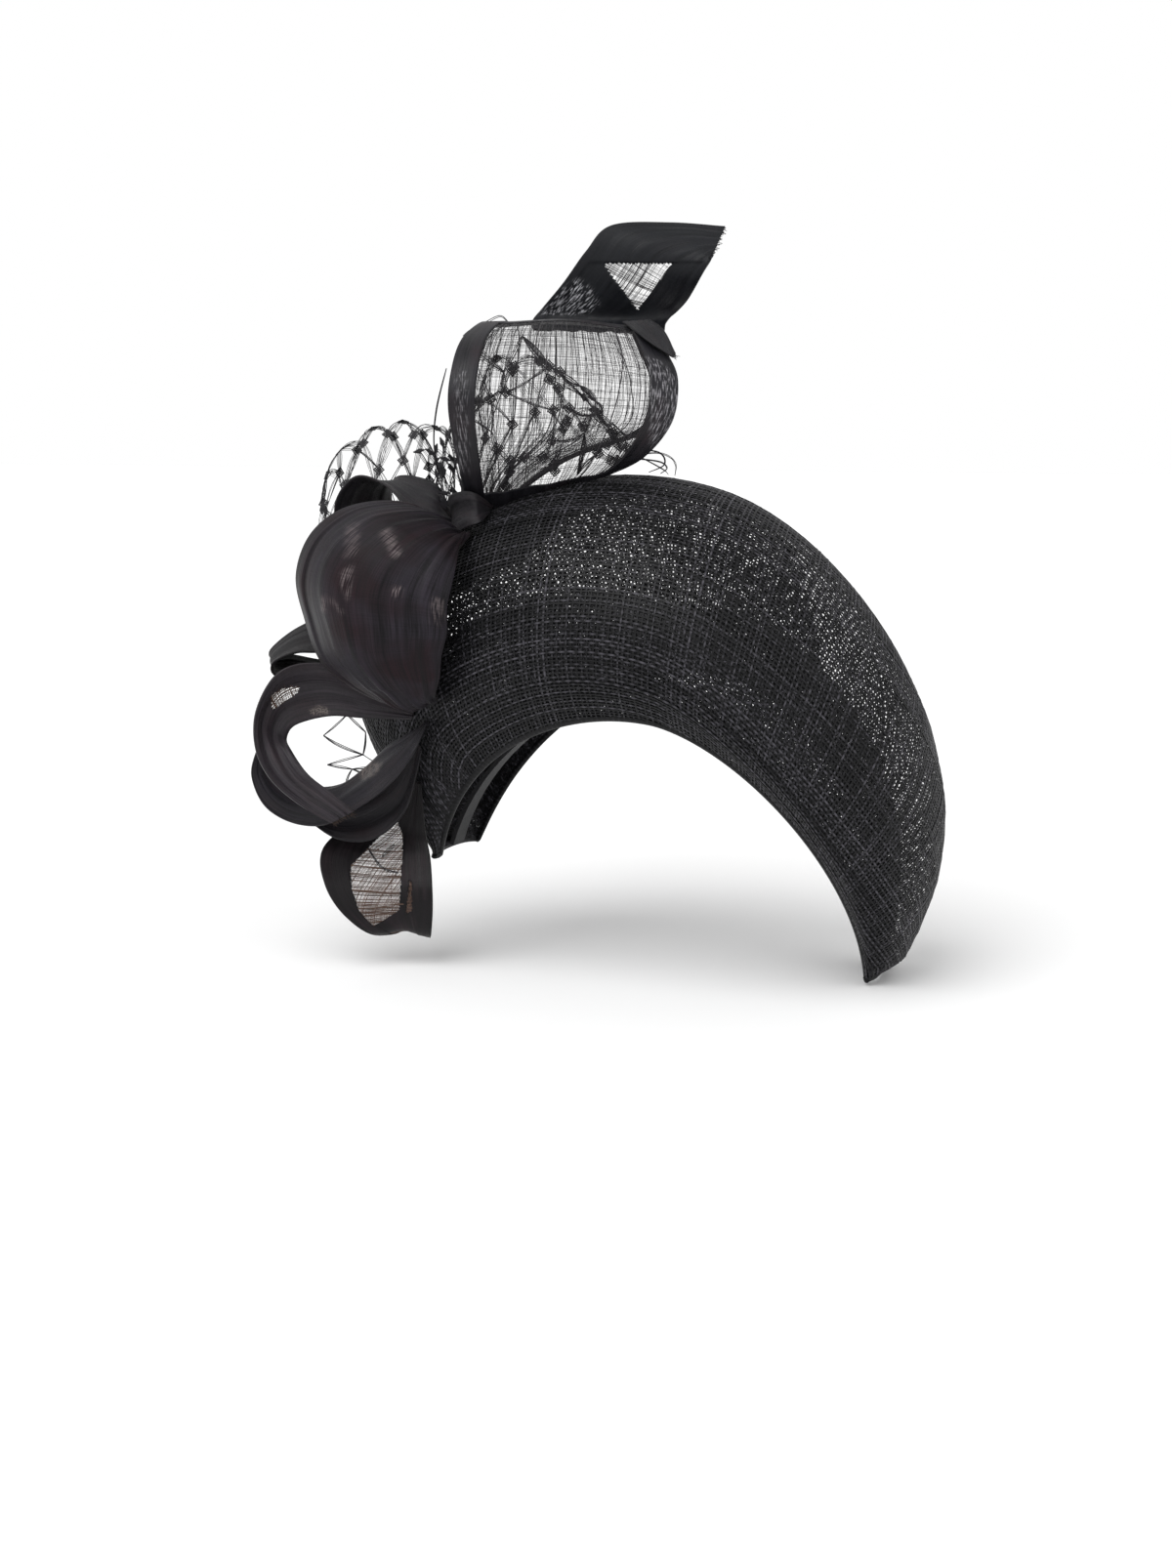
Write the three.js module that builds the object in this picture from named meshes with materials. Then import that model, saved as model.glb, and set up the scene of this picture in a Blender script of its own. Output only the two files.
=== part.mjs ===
import * as THREE from 'three';

// Halo-band fascinator with ribbon and net trim, in millimetres.
// +Z is up, the wearer faces -Y, and the wearer's left is +X.
// The origin is the middle of the head opening, between the two ends of the halo band.

// Halo band of woven straw: its front and rear edges arch over the head from end to end
const wornTilt = 11;
const strawWall = 1.6;
const frontEdge = { halfWidth: 80, top: 83, topY: -50, endY: -2 };
const rearEdge = { halfWidth: 78, top: 89, topY: 44, endY: 24 };
const edgePower = { wearerRight: 1.86, wearerLeft: 1.72 };
const bandSteps = 38;
const profileSteps = 20;

// How far the straw rises off the head, by the angle from the top of the arch to the wearer's left
const bandRise = [
  { angle: -84, rise: 4 },
  { angle: -79, rise: 15 },
  { angle: -72, rise: 35.5 },
  { angle: -64, rise: 60 },
  { angle: -54, rise: 75 },
  { angle: -40, rise: 79 },
  { angle: -20, rise: 79 },
  { angle: 0, rise: 73 },
  { angle: 20, rise: 61 },
  { angle: 40, rise: 48.5 },
  { angle: 54, rise: 38.5 },
  { angle: 66, rise: 28 },
  { angle: 76, rise: 18.5 },
  { angle: 82, rise: 13 },
  { angle: 86, rise: 5 },
];

// The section of the band, from the front edge (along 0) over the top to the rear edge (along 1)
const bandProfile = [
  { along: 0.0, rise: 0.0 },
  { along: -0.12, rise: 0.18 },
  { along: -0.13, rise: 0.4 },
  { along: -0.05, rise: 0.64 },
  { along: 0.12, rise: 0.86 },
  { along: 0.34, rise: 0.98 },
  { along: 0.56, rise: 0.98 },
  { along: 0.78, rise: 0.84 },
  { along: 0.94, rise: 0.56 },
  { along: 1.02, rise: 0.26 },
  { along: 1.0, rise: 0.0 },
];

// Slim inner band that sits on the head, sewn into the two ends of the halo band
const headBand = { width: 11, thickness: 1.6, offHead: 2.1, firstAngle: -82.7, lastAngle: 85, steps: 40 };

// The trim is set out in a frame of its own, turned and leaned back so that it faces its viewer:
// across to the right, up, and toward the viewer
const trimFrame = { turn: 18, lean: 10, place: [-24, 1.7, 51.4] };
const ribbonWall = 1.2;
const netWall = 1.2;
const seatGap = 0.95;
const seatStep = { angle: 0.5, round: 0.005 };

// Ribbons: each row has the places of the two hems, and how far the cloth between them stands off.
// Where a ribbon is sewn down, the place is a seat on the halo band, by its angle and by its share
// of the way from the front edge to the rear edge
const topLoopRows = [
  { left: { angle: -33, round: 0.48 }, right: { angle: -14.5, round: 0.52 }, cup: 0 },
  { left: [-43, 107, 42], right: [20, 111, 42], cup: 2 },
  { left: [-46, 125, 52], right: [29, 122, 46], cup: 4 },
  { left: [-45, 139, 50], right: [31, 136, 44], cup: 5 },
  { left: [-42, 151, 40], right: [28, 146.5, 36], cup: 4 },
  { left: [-36, 160.5, 22], right: [23, 158.5, 22], cup: 2 },
  { left: [-36, 160.5, 4], right: [24, 158.5, 5], cup: 1 },
  { left: [-42, 146, -4], right: [32, 143, -2], cup: 0 },
  { left: [-44, 126, -5], right: [28, 129, -3], cup: 0 },
  { left: [-44, 108, -2], right: [-6, 116.5, -2], cup: 0 },
  { left: { angle: -35.5, round: 0.59 }, right: { angle: -31.5, round: 0.61 }, cup: 0 },
];
const tailRows = [
  { left: [-18.5, 162.2, 3], right: [24.5, 160.8, 3.5], cup: 0 },
  { left: [-19.5, 165, -1], right: [28, 163, -2], cup: 0 },
  { left: [-17, 170, -4], right: [29, 167, -7], cup: 1 },
  { left: [-8, 180, 0], right: [32.5, 171, -8], cup: 3 },
  { left: [0, 190, 4], right: [36.5, 174.5, -3], cup: 3 },
  { left: [9, 199, 4], right: [40, 179, 4], cup: 2 },
  { left: [30, 201, 0], right: [43, 184, 8], cup: 1 },
  { left: [50, 200.5, -4], right: [44.5, 187, 8], cup: 0 },
];
const frontPuffRows = [
  { left: { angle: -49.5, round: 0.2 }, right: { angle: -46.5, round: 0.18 }, cup: 0 },
  { left: [-68, 29, 35], right: [-51, 30, 47], cup: 5 },
  { left: [-80, 34, 30], right: [-49, 35, 51], cup: 10 },
  { left: [-91, 43, 24], right: [-48, 43, 54], cup: 14 },
  { left: [-97, 58, 22], right: [-46, 50, 56], cup: 16 },
  { left: [-100, 73, 22], right: [-46, 58, 56], cup: 16 },
  { left: [-94, 87, 26], right: [-45, 64, 55], cup: 14 },
  { left: [-80, 95, 32], right: [-44, 71, 52], cup: 10 },
  { left: [-60, 95, 36], right: [-43, 79, 46], cup: 4 },
  { left: { angle: -35, round: 0.43 }, right: { angle: -32.5, round: 0.42 }, cup: 0 },
];
const backLoopRows = [
  { left: { angle: -35, round: 0.48 }, right: { angle: -37, round: 0.54 }, cup: 0 },
  { left: [-52, 88, 30], right: [-52, 105, 8.5], cup: 0 },
  { left: [-61, 94, 27], right: [-60, 109.5, 2], cup: 0 },
  { left: [-70, 104, 21], right: [-68, 110, -2], cup: 0 },
  { left: [-81, 107.5, 17], right: [-70, 104, -3], cup: 0 },
  { left: [-88.5, 98, 13], right: [-69, 96, -3.5], cup: 0 },
  { left: [-85, 85, 9], right: [-69, 87, -4], cup: 0 },
  { left: { angle: -47.5, round: 0.48 }, right: { angle: -48.5, round: 0.53 }, cup: 0 },
];
const midLoopRows = [
  { left: { angle: -53.5, round: 0.42 }, right: { angle: -55, round: 0.5 }, cup: 0 },
  { left: [-92, 47.5, 8], right: [-94, 61, -10], cup: 0 },
  { left: [-103, 46.5, 6], right: [-106, 56.5, -14], cup: 0 },
  { left: [-111, 43, 5], right: [-114.5, 49.5, -14], cup: 0 },
  { left: [-111, 39, 4], right: [-114, 46, -12], cup: 0 },
  { left: [-104, 36.5, 2], right: [-107, 47, -10], cup: 0 },
  { left: [-92, 38, 0], right: [-94, 42.5, -9], cup: 0 },
  { left: { angle: -58.5, round: 0.42 }, right: { angle: -59, round: 0.49 }, cup: 0 },
];
const ringLoopRows = [
  { left: { angle: -52, round: 0.2 }, right: { angle: -53.8, round: 0.19 }, cup: 0 },
  { left: [-78, 37, 22], right: [-77, 23, 19], cup: 1 },
  { left: [-94, 42, 20], right: [-90, 24, 13], cup: 2 },
  { left: [-106.5, 38.5, 24], right: [-102, 21, 14], cup: 3 },
  { left: [-114, 26, 25], right: [-105, 16, 17], cup: 3 },
  { left: [-114.5, 13, 27], right: [-102, 11, 23], cup: 2 },
  { left: [-109, 2, 30], right: [-96, 3.5, 27], cup: 2 },
  { left: [-99, -7, 30], right: [-88.5, -2.5, 28], cup: 1 },
  { left: [-88, -13.5, 28], right: [-80, -9.5, 29], cup: 0 },
];
const crossLoopRows = [
  { left: { angle: -51, round: 0.16 }, right: { angle: -53, round: 0.165 }, cup: 0 },
  { left: [-59, 10, 36], right: [-63, 16, 29], cup: 1 },
  { left: [-68, -1, 31], right: [-69, 13, 22], cup: 2 },
  { left: [-80, -9, 21], right: [-77, 6.5, 12], cup: 2 },
  { left: [-92, -14.5, 15], right: [-86, 0.5, 7], cup: 2 },
  { left: [-104, -13.5, 12], right: [-95, -1, 5], cup: 2 },
  { left: [-113.5, -7.5, 12], right: [-103, 1.5, 5], cup: 2 },
  { left: [-118, 3, 12], right: [-109, 6, 7], cup: 1 },
  { left: [-116, 12, 13], right: [-111, 11, 9], cup: 0 },
];
const underLoopRows = [
  { left: { angle: -56, round: 0.17 }, right: { angle: -57.5, round: 0.14 }, cup: 0 },
  { left: [-66, 3, 19], right: [-63, -9, 19], cup: 1 },
  { left: [-77, -5, 12], right: [-74, -19, 16], cup: 1 },
  { left: [-88, -9, 9], right: [-87, -19.5, 13], cup: 1 },
  { left: [-98, -9, 5], right: [-99, -13, 7], cup: 0 },
];
const lowerLoopRows = [
  { left: { angle: -66, round: 0.17 }, right: { angle: -64.5, round: 0.12 }, cup: 0 },
  { left: [-82, -12, 0], right: [-57, -16, 9], cup: 1 },
  { left: [-93.5, -23, 7], right: [-55, -26, 11], cup: 2 },
  { left: [-92, -35, 14], right: [-54, -37, 15], cup: 3 },
  { left: [-85, -46, 16], right: [-54, -46, 14], cup: 3 },
  { left: [-76, -53, 10], right: [-55, -54, 8], cup: 2 },
  { left: [-68, -52, -2], right: [-56, -53, -3], cup: 1 },
  { left: [-66.5, -41, -9], right: [-56, -41, -9], cup: 0 },
  { left: [-66, -24, -6], right: [-58, -24, -6], cup: 0 },
  { left: { angle: -71.5, round: 0.25 }, right: { angle: -72.5, round: 0.23 }, cup: 0 },
];

// Net: each row is an arched section of the puff, from its front foot over its crest to its back foot
const veilPuffRows = [
  { across: -97, foot: 92, crest: 103, front: -13, back: -20 },
  { across: -94, foot: 92, crest: 118, front: -13, back: -29 },
  { across: -85, foot: 95, crest: 128, front: -12, back: -34 },
  { across: -73, foot: 98, crest: 133, front: -10, back: -33 },
  { across: -62, foot: 97, crest: 133, front: -9, back: -29 },
  { across: -52, foot: 98, crest: 130, front: -5, back: -19 },
  { across: -42, foot: 98, crest: 134, front: 24, back: 14 },
  { across: -30, foot: 102, crest: 147, front: 34, back: 27 },
  { across: -15, foot: 107, crest: 145, front: 37, back: 30 },
  { across: 0, foot: 109, crest: 132, front: 37, back: 30 },
  { across: 14, foot: 111, crest: 119, front: 37, back: 31 },
];
const veilPuffGaps = { along: 10, over: 9 };
const veilFrillRows = [
  { left: [-93, 26, -4], right: { angle: -63.5, round: 0.37 }, cup: 0 },
  { left: [-95, 14, -6], right: { angle: -67, round: 0.34 }, cup: -3 },
  { left: [-92, 4, -6], right: { angle: -69, round: 0.3 }, cup: -3 },
  { left: [-84, -6, -4], right: { angle: -71, round: 0.28 }, cup: -1 },
];
const veilFrillGaps = { along: 5, over: 4 };
const netBar = 0.32;

const ribbonPieces = [
  { name: 'top_loop', rows: topLoopRows, steps: 30, lanes: 7 },
  { name: 'tail', rows: tailRows, steps: 24, lanes: 5 },
  { name: 'front_puff', rows: frontPuffRows, steps: 22, lanes: 8 },
  { name: 'back_loop', rows: backLoopRows, steps: 18, lanes: 3 },
  { name: 'mid_loop', rows: midLoopRows, steps: 16, lanes: 3 },
  { name: 'ring_loop', rows: ringLoopRows, steps: 26, lanes: 4 },
  { name: 'cross_loop', rows: crossLoopRows, steps: 24, lanes: 4 },
  { name: 'under_loop', rows: underLoopRows, steps: 12, lanes: 3 },
  { name: 'lower_loop', rows: lowerLoopRows, steps: 24, lanes: 5 },
];

const straw = new THREE.MeshStandardMaterial({ color: 0x161517, roughness: 0.6, metalness: 0 });
const ribbonCloth = new THREE.MeshStandardMaterial({ color: 0x1b181c, roughness: 0.45, metalness: 0 });
const netThread = new THREE.MeshStandardMaterial({ color: 0x101012, roughness: 0.5, metalness: 0 });
const bandCloth = new THREE.MeshStandardMaterial({ color: 0x121113, roughness: 0.7, metalness: 0 });

const { degToRad, lerp, clamp } = THREE.MathUtils;

// A smooth curve through one column of a table
function column(rows, name) {
  const curve = new THREE.SplineCurve(rows.map((row, index) => new THREE.Vector2(index, row[name])));
  return (share) => curve.getPoint(share).y;
}

// How far along a table, from 0 to 1, one of its columns has the given value
function shareAt(rows, name, value) {
  const next = Math.max(1, rows.findIndex((row) => row[name] >= value));
  const [low, high] = [rows[next - 1][name], rows[next][name]];
  return (next - 1 + (value - low) / (high - low)) / (rows.length - 1);
}

// Rows and columns of points from a function of two shares
function gridOf(steps, lanes, pointAt) {
  const span = (count) => Array.from({ length: count + 1 }, (_, index) => index / count);
  return span(steps).map((along) => span(lanes).map((over) => pointAt(along, over)));
}

function gridNormals(grid) {
  const [lastRow, lastLane] = [grid.length - 1, grid[0].length - 1];
  return grid.map((line, i) => line.map((point, j) => {
    const along = grid[Math.min(i + 1, lastRow)][j].clone().sub(grid[Math.max(i - 1, 0)][j]);
    const over = line[Math.min(j + 1, lastLane)].clone().sub(line[Math.max(j - 1, 0)]);
    return over.cross(along).normalize();
  }));
}

function offsetGrid(grid, distance) {
  const normals = gridNormals(grid);
  const shifted = (point, i, j) => point.clone().addScaledVector(normals[i][j], distance);
  return grid.map((line, i) => line.map((point, j) => shifted(point, i, j)));
}

function geometryFrom(points, index) {
  const geometry = new THREE.BufferGeometry().setFromPoints(points);
  geometry.setIndex(index);
  geometry.computeVertexNormals();
  return geometry;
}

// The walls that join the outer and the inner grid all round their edge
function edgeWalls(rows, lanes, place, quad) {
  const [end, side] = [rows - 1, lanes - 1];
  for (let i = 0; i < end; i += 1) {
    quad(place(0, i, 0), place(0, i + 1, 0), place(1, i + 1, 0), place(1, i, 0));
    quad(place(0, i + 1, side), place(0, i, side), place(1, i, side), place(1, i + 1, side));
  }
  for (let j = 0; j < side; j += 1) {
    quad(place(0, 0, j + 1), place(0, 0, j), place(1, 0, j), place(1, 0, j + 1));
    quad(place(0, end, j), place(0, end, j + 1), place(1, end, j + 1), place(1, end, j));
  }
}

// A closed wall between two grids of points of the same size, the outer one facing out
function wallBetween(outer, inner) {
  const [rows, lanes] = [outer.length, outer[0].length];
  const place = (side, i, j) => side * rows * lanes + i * lanes + j;
  const index = [];
  const quad = (a, b, c, d) => index.push(a, b, c, a, c, d);
  for (let i = 0; i + 1 < rows; i += 1) {
    for (let j = 0; j + 1 < lanes; j += 1) {
      quad(place(0, i, j), place(0, i, j + 1), place(0, i + 1, j + 1), place(0, i + 1, j));
      quad(place(1, i, j), place(1, i + 1, j), place(1, i + 1, j + 1), place(1, i, j + 1));
    }
  }
  edgeWalls(rows, lanes, place, quad);
  return geometryFrom([...outer.flat(), ...inner.flat()], index);
}

// A net between two grids: each cell keeps a frame of bars round an open gap,
// and the bars reach a share of the way to its middle
function netBetween(outer, inner, bar) {
  const [rows, lanes] = [outer.length, outer[0].length];
  const place = (side, i, j) => side * rows * lanes + i * lanes + j;
  const points = [...outer.flat(), ...inner.flat()];
  const index = [];
  const quad = (a, b, c, d) => index.push(a, b, c, a, c, d);
  const gapCorners = (grid, i, j) => {
    const around = [grid[i][j], grid[i][j + 1], grid[i + 1][j + 1], grid[i + 1][j]];
    const middle = around.reduce((sum, point) => sum.add(point), new THREE.Vector3());
    middle.divideScalar(around.length);
    return around.map((point) => point.clone().lerp(middle, bar));
  };
  for (let i = 0; i + 1 < rows; i += 1) {
    for (let j = 0; j + 1 < lanes; j += 1) {
      const start = points.length;
      points.push(...gapCorners(outer, i, j), ...gapCorners(inner, i, j));
      const cell = [[i, j], [i, j + 1], [i + 1, j + 1], [i + 1, j]];
      cell.forEach((corner, side) => {
        const other = (side + 1) % cell.length;
        const [a, b] = [start + side, start + other];
        const [c, d] = [a + cell.length, b + cell.length];
        quad(place(0, ...corner), place(0, ...cell[other]), b, a);
        quad(place(1, ...cell[other]), place(1, ...corner), c, d);
        quad(a, b, d, c);
      });
    }
  }
  edgeWalls(rows, lanes, place, quad);
  return geometryFrom(points, index);
}

// A point of the halo band's outer face: from end to end by angle, and from its front edge to its rear edge
function bandPoint(degrees, round) {
  const angle = degToRad(degrees);
  const along = column(bandProfile, 'along')(round);
  const rise = column(bandRise, 'rise')(shareAt(bandRise, 'angle', degrees));
  const mix = (name, share) => lerp(frontEdge[name], rearEdge[name], share);
  const inside = clamp(along, 0, 1);
  const [sine, cosine] = [Math.sin(angle), Math.cos(angle)];
  const power = degrees < 0 ? edgePower.wearerRight : edgePower.wearerLeft;
  const [aside, upward] = [Math.abs(sine) / mix('halfWidth', inside), cosine / mix('top', inside)];
  const reach = aside ** power + upward ** power;
  const edge = reach ** (-1 / power);
  const radius = edge + rise * column(bandProfile, 'rise')(round);
  const y = lerp(mix('endY', along), mix('topY', along), cosine);
  return new THREE.Vector3(radius * sine, y, radius * cosine);
}

function haloBand() {
  const [first, last] = [bandRise[0].angle, bandRise[bandRise.length - 1].angle];
  const outer = gridOf(bandSteps, profileSteps, (arch, round) => bandPoint(lerp(last, first, arch), round));
  return wallBetween(outer, offsetGrid(outer, -strawWall));
}

// The inner band follows the head half way between the two edges of the halo band
function innerBand() {
  const { width, thickness, offHead, firstAngle, lastAngle, steps } = headBand;
  const level = (along, side, lift) => {
    const degrees = lerp(lastAngle, firstAngle, along);
    const [front, rear] = [bandPoint(degrees, 0), bandPoint(degrees, 1)];
    const middle = front.lerp(rear, 0.5);
    const out = new THREE.Vector3(middle.x, 0, middle.z).normalize();
    return middle.addScaledVector(out, lift).add(new THREE.Vector3(0, (side - 0.5) * width, 0));
  };
  const outer = gridOf(steps, 1, (along, side) => level(along, side, offHead + thickness / 2));
  const inner = gridOf(steps, 1, (along, side) => level(along, side, offHead - thickness / 2));
  return wallBetween(outer, inner);
}

// A place in the trim's frame, from its three sizes or from a seat just off the halo band
function spotOf(place) {
  if (Array.isArray(place)) return new THREE.Vector3(...place);
  const { angle, round } = place;
  const point = bandPoint(angle, round);
  const aroundArch = bandPoint(angle + seatStep.angle, round).sub(point);
  const overBand = bandPoint(angle, round + seatStep.round).sub(point);
  point.addScaledVector(aroundArch.cross(overBand).normalize(), seatGap);
  return trim.worldToLocal(worn.localToWorld(point));
}

// A row that is sewn down at both hems follows the band between its two seats
function sewnSpot({ left, right }, over, straight) {
  if (Array.isArray(left) || Array.isArray(right)) return straight;
  return spotOf({ angle: lerp(left.angle, right.angle, over), round: lerp(left.round, right.round, over) });
}

// The middle face of a ribbon: its hems run through the rows, and the cloth between them is cupped
function ribbonGrid(rows, steps, lanes) {
  const hem = (name) => new THREE.CatmullRomCurve3(rows.map((row) => spotOf(row[name])));
  const [left, right] = [hem('left'), hem('right')];
  const between = (along, over) => left.getPoint(along).lerp(right.getPoint(along), over);
  const flat = gridOf(steps, lanes, between);
  flat[0] = flat[0].map((point, j) => sewnSpot(rows[0], j / lanes, point));
  flat[steps] = flat[steps].map((point, j) => sewnSpot(rows[rows.length - 1], j / lanes, point));
  const normals = gridNormals(flat);
  const cup = column(rows, 'cup');
  return flat.map((line, i) => line.map((point, j) => {
    const over = j / lanes;
    return point.clone().addScaledVector(normals[i][j], cup(i / steps) * Math.sin(Math.PI * over));
  }));
}

function ribbon({ rows, steps, lanes }) {
  const middle = ribbonGrid(rows, steps, lanes);
  return wallBetween(offsetGrid(middle, ribbonWall / 2), offsetGrid(middle, -ribbonWall / 2));
}

// The net puff: half an ellipse over each row, from the front foot to the back foot
function veilPuffGrid() {
  const at = (name) => column(veilPuffRows, name);
  return gridOf(veilPuffGaps.along, veilPuffGaps.over, (along, over) => {
    const [front, back] = [at('front')(along), at('back')(along)];
    const angle = Math.PI * over;
    const up = lerp(at('foot')(along), at('crest')(along), Math.sin(angle));
    return new THREE.Vector3(at('across')(along), up, lerp(back, front, (1 + Math.cos(angle)) / 2));
  });
}

function net(middle) {
  return netBetween(offsetGrid(middle, netWall / 2), offsetGrid(middle, -netWall / 2), netBar);
}

function mesh(name, geometry, material) {
  const piece = new THREE.Mesh(geometry, material);
  piece.name = name;
  return piece;
}

const worn = new THREE.Group();
worn.rotation.y = degToRad(wornTilt);
worn.updateMatrixWorld();
worn.add(mesh('halo_band', haloBand(), straw));
worn.add(mesh('head_band', innerBand(), bandCloth));

const trim = new THREE.Group();
trim.position.set(...trimFrame.place);
trim.rotation.set(degToRad(90 - trimFrame.lean), 0, degToRad(trimFrame.turn), 'ZXY');
trim.updateMatrixWorld();
for (const piece of ribbonPieces) trim.add(mesh(piece.name, ribbon(piece), ribbonCloth));
trim.add(mesh('veil_puff', net(veilPuffGrid()), netThread));
const veilFrillGrid = ribbonGrid(veilFrillRows, veilFrillGaps.along, veilFrillGaps.over);
trim.add(mesh('veil_frill', net(veilFrillGrid), netThread));

const fascinator = new THREE.Group();
fascinator.add(worn, trim);

export default fascinator;
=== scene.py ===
import math

import bpy
import numpy as np
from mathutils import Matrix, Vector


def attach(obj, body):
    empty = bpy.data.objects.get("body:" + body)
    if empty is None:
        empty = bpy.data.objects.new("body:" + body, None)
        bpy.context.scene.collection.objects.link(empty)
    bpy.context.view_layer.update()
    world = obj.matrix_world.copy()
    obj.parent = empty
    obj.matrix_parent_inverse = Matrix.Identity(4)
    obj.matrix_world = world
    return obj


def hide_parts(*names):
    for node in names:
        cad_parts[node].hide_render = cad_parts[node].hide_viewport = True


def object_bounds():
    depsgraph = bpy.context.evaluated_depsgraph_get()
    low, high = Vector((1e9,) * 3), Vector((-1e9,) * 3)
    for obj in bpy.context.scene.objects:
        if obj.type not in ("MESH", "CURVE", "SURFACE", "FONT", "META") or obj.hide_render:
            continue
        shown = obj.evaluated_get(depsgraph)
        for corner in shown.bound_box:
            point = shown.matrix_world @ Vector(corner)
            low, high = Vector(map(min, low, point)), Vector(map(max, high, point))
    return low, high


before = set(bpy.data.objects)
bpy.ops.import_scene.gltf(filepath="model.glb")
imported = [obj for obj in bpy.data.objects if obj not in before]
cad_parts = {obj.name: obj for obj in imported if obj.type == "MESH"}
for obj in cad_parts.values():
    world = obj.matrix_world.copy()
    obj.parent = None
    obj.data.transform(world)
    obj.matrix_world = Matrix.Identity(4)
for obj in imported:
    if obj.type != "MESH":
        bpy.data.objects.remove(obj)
cadBox = [list(corner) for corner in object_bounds()]
print("frame loaded:", len(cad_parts), "solids")

rng = np.random.default_rng(11)
mm = 0.001


# Smooth curve through table rows at share t: each stretch is the cubic blend of the four rows round it
def smoothRows(rows, t):
    rows = np.asarray(rows, float)
    rows = np.concatenate([rows[:1], rows, rows[-1:]])
    place = np.clip(np.asarray(t, float), 0, 1) * (len(rows) - 3)
    i = np.minimum(place.astype(int), len(rows) - 4)
    f = (place - i)[..., None]
    a, b, c, d = rows[i], rows[i + 1], rows[i + 2], rows[i + 3]
    return b + 0.5 * f * (c - a + f * (2 * a - 5 * b + 4 * c - d + f * (3 * (b - c) + d - a)))


# Vectors scaled to length one
def unit(v):
    return v / np.maximum(np.linalg.norm(v, axis=-1, keepdims=True), 1e-12)


# A new object in the scene, at the origin
def addObject(name, data):
    made = bpy.data.objects.new(name, data)
    bpy.context.scene.collection.objects.link(made)
    return made


# Puts parts of one piece into a mesh object that rides on the part: each part has points (mm), quads, uv and
# a material
def makePiece(name, slot, *parts, smooth=True):
    first = np.cumsum([0] + [len(part["points"]) for part in parts])
    points = np.concatenate([np.asarray(part["points"]).reshape(-1, 3) for part in parts]) * mm
    quads = np.concatenate([part["quads"] + start for part, start in zip(parts, first)])
    uv = np.concatenate([np.asarray(part["uv"]).reshape(-1, 2) for part in parts])
    mesh = bpy.data.meshes.new(name)
    mesh.from_pydata(points.tolist(), [], quads.tolist())
    layer = mesh.uv_layers.new(name="UVMap")
    layer.data.foreach_set("uv", uv[quads.ravel()].astype(np.float32).ravel())
    counts = [len(part["quads"]) for part in parts]
    mesh.polygons.foreach_set("material_index", np.repeat(np.arange(len(parts)), counts))
    mesh.polygons.foreach_set("use_smooth", np.full(len(quads), smooth))
    # The patches' share of painted light, where a part has one, is kept as a point attribute
    if any("paintedLight" in part for part in parts):
        paintedLight = np.concatenate([part.get("paintedLight", np.zeros(len(part["points"]))) for part in parts])
        mesh.attributes.new("paintedLight", "FLOAT", "POINT").data.foreach_set("value", paintedLight.astype(np.float32))
    for part in parts:
        mesh.materials.append(part["material"])
    mesh.update()
    piece = addObject(name, mesh)
    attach(piece, "root")
    return piece


# Quads between neighbours of a grid of numbered points
def gridQuads(numbers):
    n = np.asarray(numbers)
    return np.stack([n[:-1, :-1], n[:-1, 1:], n[1:, 1:], n[1:, :-1]], -1).reshape(-1, 4)


# Normals of a grid: the cross product of its slopes each way
def gridNormals(grid):
    along = np.gradient(grid, axis=0)
    over = np.gradient(grid, axis=1)
    return unit(np.cross(over, along))


# Closed shell over the solid cells of a grid: the grid moved half the thickness each way along its normals,
# with a wall wherever a solid cell borders on an open one or on the grid's edge
def maskedShell(grid, normals, thick, solid):
    for _ in range(2):  # cells that touch only at a corner are joined
        solid[:-1, 1:] |= solid[:-1, :-1] & solid[1:, 1:] & ~solid[1:, :-1]
        solid[:-1, :-1] |= solid[:-1, 1:] & solid[1:, :-1] & ~solid[1:, 1:]
    half = thick[..., None] / 2
    points = np.concatenate([(grid + normals * half).reshape(-1, 3), (grid - normals * half).reshape(-1, 3)])
    n = np.arange(grid.shape[0] * grid.shape[1]).reshape(grid.shape[:2])
    corners = [n[:-1, :-1], n[:-1, 1:], n[1:, 1:], n[1:, :-1]]
    top = np.stack([corner[solid] for corner in corners], -1)
    padded = np.pad(solid, 1)
    beside = [padded[:-2, 1:-1], padded[1:-1, 2:], padded[2:, 1:-1], padded[1:-1, :-2]]
    walls = []
    for k in range(4):
        border = solid & ~beside[k]
        near, far = corners[k][border], corners[(k + 1) % 4][border]
        walls.append(np.stack([far, near, near + n.size, far + n.size], -1))
    quads = np.concatenate([top, (top + n.size)[:, ::-1]] + walls)
    used, flat = np.unique(quads, return_inverse=True)
    return points[used], flat.reshape(-1, 4), used % n.size


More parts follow.
